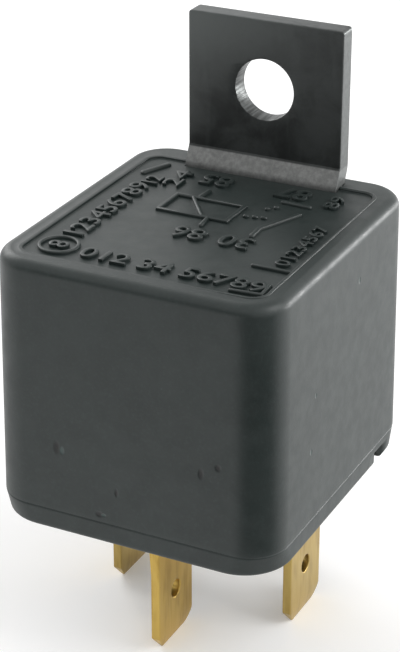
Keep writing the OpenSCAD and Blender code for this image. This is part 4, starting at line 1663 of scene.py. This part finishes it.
def smooth_line(points: Sequence[Sequence[float]], step: float) -> np.ndarray:
    """Smooth curve through all points, which leaves each along the line between its neighbours.

    Between two points the curve is the cubic with the points as ends and half the distance between the
    neighbours of each as slope there, walked in even steps of its parameter.

    Args:
        points: x, y, z of the points.
        step: distance between the points of the curve, about.

    Returns:
        The points of the curve.
    """
    pts = np.array([points[0], *points, points[-1]], float)
    runs = []
    for before, a, b, after in zip(pts[:-3], pts[1:-2], pts[2:-1], pts[3:]):
        t = np.linspace(0, 1, max(int(np.linalg.norm(b - a) / step), 1), endpoint=False)[:, None]
        slope_a, slope_b = (b - before) / 2, (after - a) / 2
        runs.append((2 * t**3 - 3 * t**2 + 1) * a + (t**3 - 2 * t**2 + t) * slope_a
                    + (3 * t**2 - 2 * t**3) * b + (t**3 - t**2) * slope_b)
    return np.concatenate([*runs, pts[-1:]])


def swept_wire(name: str, line: np.ndarray, radius: float, sides: int = 12,
               relief: Optional[Callable[[np.ndarray, np.ndarray], np.ndarray]] = None) -> bpy.types.Object:
    """Closed round tube along a line.

    Each row is line + r (cos a u + sin a v), with u and v square to the line. The row's u is the last row's
    u less its part along the line, so the tube doesn't twist.

    Args:
        name: name of the object.
        line: x, y, z of its points, in millimetres.
        radius: radius of the tube.
        sides: points in each row.
        relief: gives the factor on the radius from the distance along the line and the angle.

    Returns:
        The tube.
    """
    way = np.gradient(line, axis=0)
    way /= np.linalg.norm(way, axis=1, keepdims=True)
    run = np.concatenate([[0], np.cumsum(np.linalg.norm(np.diff(line, axis=0), axis=1))])
    angle = np.linspace(0, 2 * np.pi, sides, endpoint=False)
    factor = np.ones((len(line), sides)) if relief is None else relief(run[:, None], angle[None, :])
    u = np.cross(way[0], [0.2, 0.1, 1.0])
    rows = []
    for k, (place, ahead) in enumerate(zip(line, way)):
        u = u - ahead * float(u @ ahead)
        u /= np.linalg.norm(u)
        v = np.cross(ahead, u)
        ring = np.cos(angle)[:, None] * u + np.sin(angle)[:, None] * v
        rows.append(place + radius * factor[k][:, None] * ring)
    return make_object(name, np.concatenate(rows), tube_faces(len(line), sides), 50.0)


def opened(points: np.ndarray, pivot: tuple[float, float], angle: float) -> np.ndarray:
    """Turns points of the closed armature about its hinge line, along x, to where they rest.

    Args:
        points: x, y, z of the points.
        pivot: y, z of the hinge line.
        angle: how far it turns, in degrees.

    Returns:
        The turned points.
    """
    y, z = points[:, 1] - pivot[0], points[:, 2] - pivot[1]
    c, s = math.cos(math.radians(angle)), math.sin(math.radians(angle))
    return np.column_stack([points[:, 0], pivot[0] + c * y - s * z, pivot[1] + s * y + c * z])


@dataclass(frozen=True)
class Turning:
    """Turned or headed piece, as its section's radius and height from the axis round to the axis again."""

    section: tuple[tuple[float, float], ...]
    rounding: float = 0.05

    def points(self, foot: Sequence[float], axis: Sequence[float] = (0, 0, 1), sides: int = 64) -> tuple:
        """Points and faces of the piece, standing on foot along axis.

        A row is foot + h axis + r (cos a u + sin a v), and the section's corners are rounded.

        Args:
            foot: where height is 0, in millimetres.
            axis: unit direction of its axis.
            sides: points in each row.

        Returns:
            The points and the faces of the closed piece.
        """
        profile, _ = bent_line(self.section, self.rounding, 0.5)
        axis = np.array(axis, float)
        u = np.cross(axis, [0, 0, 1.0] if abs(axis[2]) < 0.5 else [1.0, 0, 0])
        v = np.cross(axis, u)
        angle = np.linspace(0, 2 * np.pi, sides, endpoint=False)
        ring = np.cos(angle)[:, None] * u + np.sin(angle)[:, None] * v
        body = profile[1:-1]
        rows = np.array(foot, float) + body[:, None, 1:] * axis + body[:, :1, None] * ring
        poles = np.array(foot, float) + profile[[0, -1], 1:] * axis
        count, last = len(body) * sides, (len(body) - 1) * sides
        faces = grid_faces(len(body), sides, True).tolist()
        for k in range(sides):
            after = (k + 1) % sides
            faces += [[after, k, count], [last + k, last + after, count + 1]]
        return np.concatenate([rows.reshape(-1, 3), poles]), faces


def rivet_section(shank: float, radius: float, head_radius: float, head: float) -> tuple:
    """Section of a rivet whose head is a low dome: radius (1 - t^2)^0.5 over height t, from rim to crown.

    Args:
        shank: length of the shank.
        radius: radius of the shank.
        head_radius: radius of the head.
        head: height of the head.

    Returns:
        Radius and height of each point.
    """
    t = np.linspace(0.0, 1, 8)[1:-1]
    dome = [(head_radius * math.sqrt(1 - k * k), shank + head * (0.25 + 0.75 * k)) for k in t]
    return ((0, 0), (radius, 0), (radius, shank), (head_radius, shank),
            (head_radius, shank + head * 0.25), *dome, (0, shank + head))


@dataclass(frozen=True)
class TurnedMetal:
    """Turned metal with fine rings round its axis, a few scores and a dull film."""

    name: str
    metal: Colour
    film: Colour
    axis: tuple[float, float] = (0, 0)
    roughness: float = 0.28

    def material(self) -> bpy.types.Material:
        """Builds the metal's nodes.

        Returns:
            The material.
        """
        g = Graph(self.name)
        flat = g.coords((1, 1, 0), (*self.axis, 0))
        far = g.tree.nodes.new("ShaderNodeVectorMath")
        far.operation = "LENGTH"
        g.put(far, "Vector", flat)
        _, _, z = g.axes()
        ring = g.tree.nodes.new("ShaderNodeTexNoise")
        ring.noise_dimensions = "1D"
        g.put(ring, "W", g.maths("ADD", far.outputs["Value"], z))
        g.put(ring, "Scale", 9000.0)
        g.put(ring, "Detail", 3.0)
        cloud = g.noise(1.8, 4.0, 0.6)
        colour = g.mix(g.span(cloud, 0.35, 0.72), self.metal, self.film)
        colour = g.mix(g.span(ring.outputs["Fac"], 0.6, 0.75, 0.0, 0.5), colour, self.film)
        rough = g.span(cloud, 0.3, 0.7, self.roughness, self.roughness + 0.14)
        g.set(Base_Color=colour, Metallic=1.0, Roughness=rough, Normal=g.bump(ring.outputs["Fac"], 0.008))
        return g.material


@dataclass(frozen=True)
class EnamelledWire:
    """Copper wire under a thin amber varnish that pools darker between the turns."""

    name: str
    copper: Colour = (0.60, 0.24, 0.09)
    varnish: Colour = (0.36, 0.11, 0.035)

    def material(self) -> bpy.types.Material:
        """Builds the wire's nodes.

        Returns:
            The material.
        """
        g = Graph(self.name)
        turns = g.noise(0.5, 2.0, 0.5, g.coords((0.15, 0.15, 1)))
        pool = g.noise(1.4, 4.0, 0.6)
        colour = g.mix(g.span(turns, 0.35, 0.7), self.copper, self.varnish)
        colour = g.mix(g.span(pool, 0.55, 0.75, 0.0, 0.7), colour, tuple(0.6 * c for c in self.varnish))
        g.set(Base_Color=colour, Metallic=0.85, Roughness=g.span(pool, 0.3, 0.7, 0.24, 0.38),
              Coat_Weight=0.6, Coat_Roughness=0.12, Normal=g.bump(g.noise(0.12, 2.0), 0.003))
        return g.material


@dataclass
class InnerWorks:
    """Yoke, coil, armature, contacts and braid inside the housing. Lengths are in millimetres."""

    core_y: float = -2.2
    coil_y: float = 2.2
    coil_x: float = 8.5
    yoke_low: float = 18.0
    yoke_front: float = -10.7
    pole_z: float = 31.6
    contact_y: float = 7.2
    pivot: tuple[float, float] = (-11.5, 31.65)
    angle: float = 3.2
    leaf_z: float = 33.15
    winding_r: float = 6.7
    hinge_rivet_z: float = 24.7
    rivet_hole_r: float = 0.75
    foot_rivet: tuple[float, float] = (3.2, -7.5)
    plate_xy: tuple[tuple[float, float], ...] = ((-2, 0.8), (2, 0.8), (-2.6, -6.6), (2.6, -6.6))
    braid_path: tuple[tuple[float, float, float], ...] = (
        (3.4, 7.3, 35.02), (5, 7.3, 35.02), (6.6, 7.1, 34.6), (8, 6.4, 33.7), (9.1, 5, 32.3), (9.7, 3, 30.8),
        (9.9, 0.6, 29.5), (9.8, -2, 28.5), (9.4, -4.6, 27.7), (8.7, -7, 27.2), (7.8, -8.9, 27),
        (7.15, -10.2, 27), (7.1, -11.2, 27))

    def place(self, thing: bpy.types.Object, node: str, material: bpy.types.Material, slot: str,
              body: Optional[Body] = Body.HOUSING) -> bpy.types.Object:
        """Dresses a piece, lets it ride on its body and stand for its node.

        Args:
            thing: the piece.
            node: CAD node that it stands for.
            material: its finish.
            slot: not used.
            body: body that it rides on, or None for a piece that joins two bodies and rides on neither.

        Returns:
            The piece.
        """
        thing.data.materials.clear()
        thing.data.materials.append(material)
        if body is not None:
            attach(thing, body.value)
        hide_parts(node)
        LOG.info("%s: %d faces", thing.name, len(thing.data.polygons))
        return thing

    def opened_point(self, y: float, z: float) -> tuple[float, float]:
        """Where a y, z point of the closed armature rests."""
        spot = opened(np.array([[0, y, z]]), self.pivot, self.angle)[0]
        return float(spot[1]), float(spot[2])

    def turned(self, name: str, pieces: Sequence[tuple], rests_open: bool = False) -> bpy.types.Object:
        """Joins turned pieces, each given as its section, foot and axis, into one object.

        Args:
            name: name of the object.
            pieces: the section, foot and axis of each.
            rests_open: whether they turn with the armature to where it rests.

        Returns:
            The object.
        """
        things = []
        for section, foot, axis in pieces:
            points, faces = Turning(section).points(foot, axis)
            if rests_open:
                points = opened(points, self.pivot, self.angle)
            things.append(make_object(name, points, faces, 40.0))
        return joined(name, things, 40.0)

    def magnet(self) -> None:
        """Bent yoke and turned core."""
        path = ((3.2, self.yoke_low), (self.yoke_front, self.yoke_low), (self.yoke_front, self.pole_z))
        yoke = swept_strip("yoke_finished", path, 1.3, 13, 1.6, 0.14, 0.5, 0.8, side=8)
        cut(yoke, rod("core_hole", (0, self.core_y, 16), (0, self.core_y, 20), 2.3))
        cut(yoke, rod("foot_hole", (*self.foot_rivet, 16), (*self.foot_rivet, 20), 0.95))
        level = self.hinge_rivet_z
        cut(yoke, rod("leaf_hole", (0, -13, level), (0, -9, level), self.rivet_hole_r))
        plated = PlainMetal("yoke_plate", (0.62, 0.63, 0.62), (0.44, 0.45, 0.43), 0.34, (1, 1, 0.08), 0.3)
        self.place(yoke, "yoke", plated.material(), "magnet_steel")
        section = ((0, 16.6), (2.8, 16.6), (3.0, 17.0), (3.0, 17.2), (2.25, 17.2), (2.25, 18.8), (3.4, 18.8),
                   (3.4, 30.4), (4.6, 30.4), (4.6, 31.4), (4.4, 31.6), (0, 31.6))
        core = self.turned("core_finished", [(section, (0, self.core_y, 0), (0, 0, 1))])
        turned = TurnedMetal("core_nickel", (0.64, 0.635, 0.61), (0.42, 0.41, 0.39), (0, self.core_y))
        self.place(core, "core", turned.material(), "core_steel")

    def coil(self) -> None:
        """Bobbin, winding and the two wire ends."""
        bobbin = refined_copy("bobbin", "bobbin_finished", 0.12)
        natural = MouldedPlastic("bobbin_nylon", (0.66, 0.61, 0.49), (0.58, 0.52, 0.40), 0.42, 0.003)
        self.place(bobbin, "bobbin", natural.material(), "bobbin_plastic")
        enamel = EnamelledWire("winding_wire").material()
        self.place(self.winding(19.85, 29.35, self.winding_r, 4.25, 0.3), "coil", enamel, "winding_copper")
        lead = EnamelledWire("lead_wire", (0.68, 0.31, 0.14), (0.48, 0.19, 0.08)).material()
        for node, side in (("coil_lead_85", 1), ("coil_lead_86", -1)):
            self.place(self.lead(node + "_finished", side), node, lead, "lead_copper")

    def winding(self, low: float, high: float, outer: float, inner: float, wire: float) -> bpy.types.Object:
        """Wound wire as a ring whose outside follows the turns of a helix.

        With p the part of a turn at height z and angle a, (z - low) / wire - a / 2 pi less its whole turns,
        the outside is at outer - wire/2 + wire/2 sqrt(1 - (2 p - 1)^2).

        Args:
            low: height of its lower end, in millimetres.
            high: height of its upper end.
            outer: outer radius.
            inner: inner radius.
            wire: pitch of the turns.

        Returns:
            The ring.
        """
        angle = np.linspace(0, 2 * np.pi, 80, endpoint=False)[None, :]
        z = np.linspace(low, high, int((high - low) / wire * 9))[:, None]
        part = np.mod((z - low) / wire - angle / (2 * np.pi), 1.0)
        radius = outer - wire / 2 + wire / 2 * np.sqrt(np.clip(1 - (2 * part - 1) ** 2, 0, 1))
        radius = np.concatenate([np.full_like(angle, inner), np.full_like(angle, outer - wire / 2), radius,
                                 np.full_like(angle, outer - wire / 2), np.full_like(angle, inner)])
        level = np.concatenate([[[low], [low]], z, [[high], [high]]]) + 0 * angle
        rows = np.stack([radius * np.cos(angle), self.core_y + radius * np.sin(angle), level], axis=-1)
        rows = np.concatenate([rows, rows[:1]])
        faces = grid_faces(len(rows), angle.size, True)
        return make_object("coil_finished", rows.reshape(-1, 3), faces, 60.0)

    def lead(self, name: str, side: int) -> bpy.types.Object:
        """Wire end from the winding straight to its post, and two turns round that.

        Args:
            name: name of the object.
            side: 1 for the right and -1 for the left.

        Returns:
            The wire.
        """
        wire, turn, level, turns = 0.15, 0.891, 20.4, 2
        start = math.sqrt(self.winding_r**2 - (self.coil_y - self.core_y) ** 2) - 0.25
        a = np.linspace(0, 2 * np.pi * turns, 64)
        climb = -wire + 2 * wire * a / (2 * np.pi)
        helix = np.column_stack([-np.cos(a) * turn, -np.sin(a) * turn, climb])
        run = np.linspace(start, self.coil_x - turn - 0.3, 12)
        line = np.column_stack([run, np.full(12, self.coil_y), np.full(12, level)])
        line = np.concatenate([line, helix + [self.coil_x, self.coil_y, level]])
        return swept_wire(name, line * [side, 1, 1], wire, 10)

    def armature(self) -> None:
        """Armature plate, contact spring, hinge spring, their rivets and the contacts."""
        plate = refined_copy("armature", "armature_finished", 0.12, 3)
        plated = PlainMetal("armature_plate", (0.62, 0.625, 0.61), (0.46, 0.47, 0.45), 0.32,
                            (0.08, 1, 1), 0.25)
        self.place(plate, "armature", plated.material(), "armature_steel", Body.ARMATURE)
        leaf = refined_copy("contact_spring", "contact_spring_finished", 0.04, 2)
        bronze = StampedBrass("leaf_bronze", (0.66, 0.42, 0.20), (0.42, 0.24, 0.10), (0.76, 0.55, 0.32),
                              (1, 0.05, 1)).material()
        self.place(leaf, "contact_spring", bronze, "contact_spring_bronze", Body.ARMATURE)
        steel = TurnedMetal("rivet_steel", (0.63, 0.63, 0.61), (0.42, 0.42, 0.40)).material()
        head = rivet_section(1.65, 0.7, 1.2, 0.45)
        heads = [(head, (x, y, 31.75), (0, 0, 1)) for x, y in self.plate_xy]
        rivets = self.turned("armature_rivets_finished", heads, True)
        self.place(rivets, "armature_rivets", steel, "rivet_steel", Body.ARMATURE)
        hinge_section = rivet_section(1.83, 0.7, 1.3, 0.5)
        hinge = self.turned("hinge_rivet_finished",
                            [(hinge_section, (0, -9.9, self.hinge_rivet_z), (0, -1, 0))])
        self.place(hinge, "hinge_rivet", steel, "rivet_steel")
        frame_section = rivet_section(2.4, 0.9, 1.5, 0.5)
        frame_rivet = self.turned("frame_rivet_finished",
                                  [(frame_section, (*self.foot_rivet, 18.8), (0, 0, -1))])
        brass = TurnedMetal("rivet_brass", (0.70, 0.50, 0.20), (0.46, 0.31, 0.11),
                            self.foot_rivet).material()
        self.place(frame_rivet, "frame_rivet", brass, "rivet_brass")
        self.hinge_spring()
        self.contacts()

    def hinge_spring(self) -> None:
        """Leaf that carries the armature, bent down round the front of the yoke."""
        top = self.leaf_z + 0.11
        path = (self.opened_point(-4.2, top), self.opened_point(-12.8, top), (-12.8, 30.75), (-11.61, 29.05),
                (-11.61, 22.5))
        leaf = swept_strip("hinge_spring_finished", path, 0.7, 8, 0.2, 0.03, 0.5, 0.5)
        level = self.hinge_rivet_z
        cut(leaf, rod("hinge_hole", (0, -13, level), (0, -10, level), self.rivet_hole_r))
        for x, y in self.plate_xy[2:]:
            ends = opened(np.array([[x, y, 32.0], [x, y, 35.0]]), self.pivot, self.angle)
            cut(leaf, rod("leaf_hole", ends[0], ends[1], self.rivet_hole_r))
        strip = StampedBrass("hinge_strip", (0.60, 0.57, 0.50), (0.40, 0.37, 0.31), (0.70, 0.67, 0.60))
        self.place(leaf, "hinge_spring", strip.material(), "hinge_spring_steel", None)
        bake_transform(leaf)

    def contacts(self) -> None:
        """Moving and fixed contact, each a rivet with a domed silver face."""

        def section(r: float, face: float, grip: float) -> tuple:
            """Section of a contact with its face at height 0."""
            tail = face + grip
            return ((0, 0), (r * 0.6, 0.04), (r * 0.9, 0.15), (r, 0.4), (r, face), (0.8, face), (0.8, tail),
                    (1.1, tail), (0.9, tail + 0.3), (0, tail + 0.3))

        silver = TurnedMetal("contact_silver", (0.80, 0.79, 0.74), (0.52, 0.50, 0.45),
                             (0, self.contact_y), 0.3).material()
        moving = self.turned("moving_contact_finished",
                             [(section(1.6, 1.0, 0.25), (0, self.contact_y, 32.15), (0, 0, 1))], True)
        self.place(moving, "moving_contact", silver, "contact_silver", Body.ARMATURE)
        fixed = self.turned("fixed_contact_finished",
                            [(section(1.7, 0.8, 0.8), (0, self.contact_y, 32.10), (0, 0, -1))])
        self.place(fixed, "fixed_contact", silver, "contact_silver")
        stop = refined_copy("back_stop", "back_stop_finished", 0.06)
        stamped = PlainMetal("stop_plate", (0.60, 0.60, 0.575), (0.42, 0.42, 0.40), 0.36, (1, 1, 0.1), 0.3)
        self.place(stop, "back_stop", stamped.material(), "stop_steel")

    def braid(self) -> None:
        """Flexible braid, a tube whose radius rises along strands that run both ways round it."""

        def plait(run: np.ndarray, angle: np.ndarray) -> np.ndarray:
            """Factor on the radius: 0.82 + 0.18 times the greater of cos(5 a + k s) and cos(5 a - k s).

            It falls to 0.8 of that over the last 0.4 mm at both ends.

            Args:
                run: distance along the braid.
                angle: angle round it.

            Returns:
                The factor at each point.
            """
            lay = 2 * np.pi / 0.8 * run
            ends = np.clip(np.minimum(run, run[-1] - run) / 0.4, 0.0, 1.0)
            strands = 0.82 + 0.18 * np.maximum(np.cos(5 * angle + lay), np.cos(5 * angle - lay))
            return strands * (0.8 + 0.2 * ends)

        rope = swept_wire("braid_finished", smooth_line(self.braid_path, 0.08), 0.55, 40, plait)
        strands = EnamelledWire("braid_strands", (0.68, 0.35, 0.18), (0.42, 0.18, 0.08)).material()
        self.place(rope, "braid", strands, "braid_copper", None)
        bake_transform(rope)

    def build(self) -> None:
        """Builds all the inner works."""
        self.magnet()
        self.coil()
        self.armature()
        self.braid()


def main() -> None:
    """Builds every sub-assembly in order."""
    logging.basicConfig(level=logging.INFO, format="%(name)s %(message)s")
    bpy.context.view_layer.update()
    Studio().build()
    cover = CoverShell().build()
    RoofRelief().build(cover.data.materials[0])
    BasePlate().build(MouldedPlastic("base_plastic", HOUSING_TONE, HOUSING_CLOUD).material())
    Bracket().build()
    Terminals().build()
    InnerWorks().build()


if __name__ == "__main__":
    main()
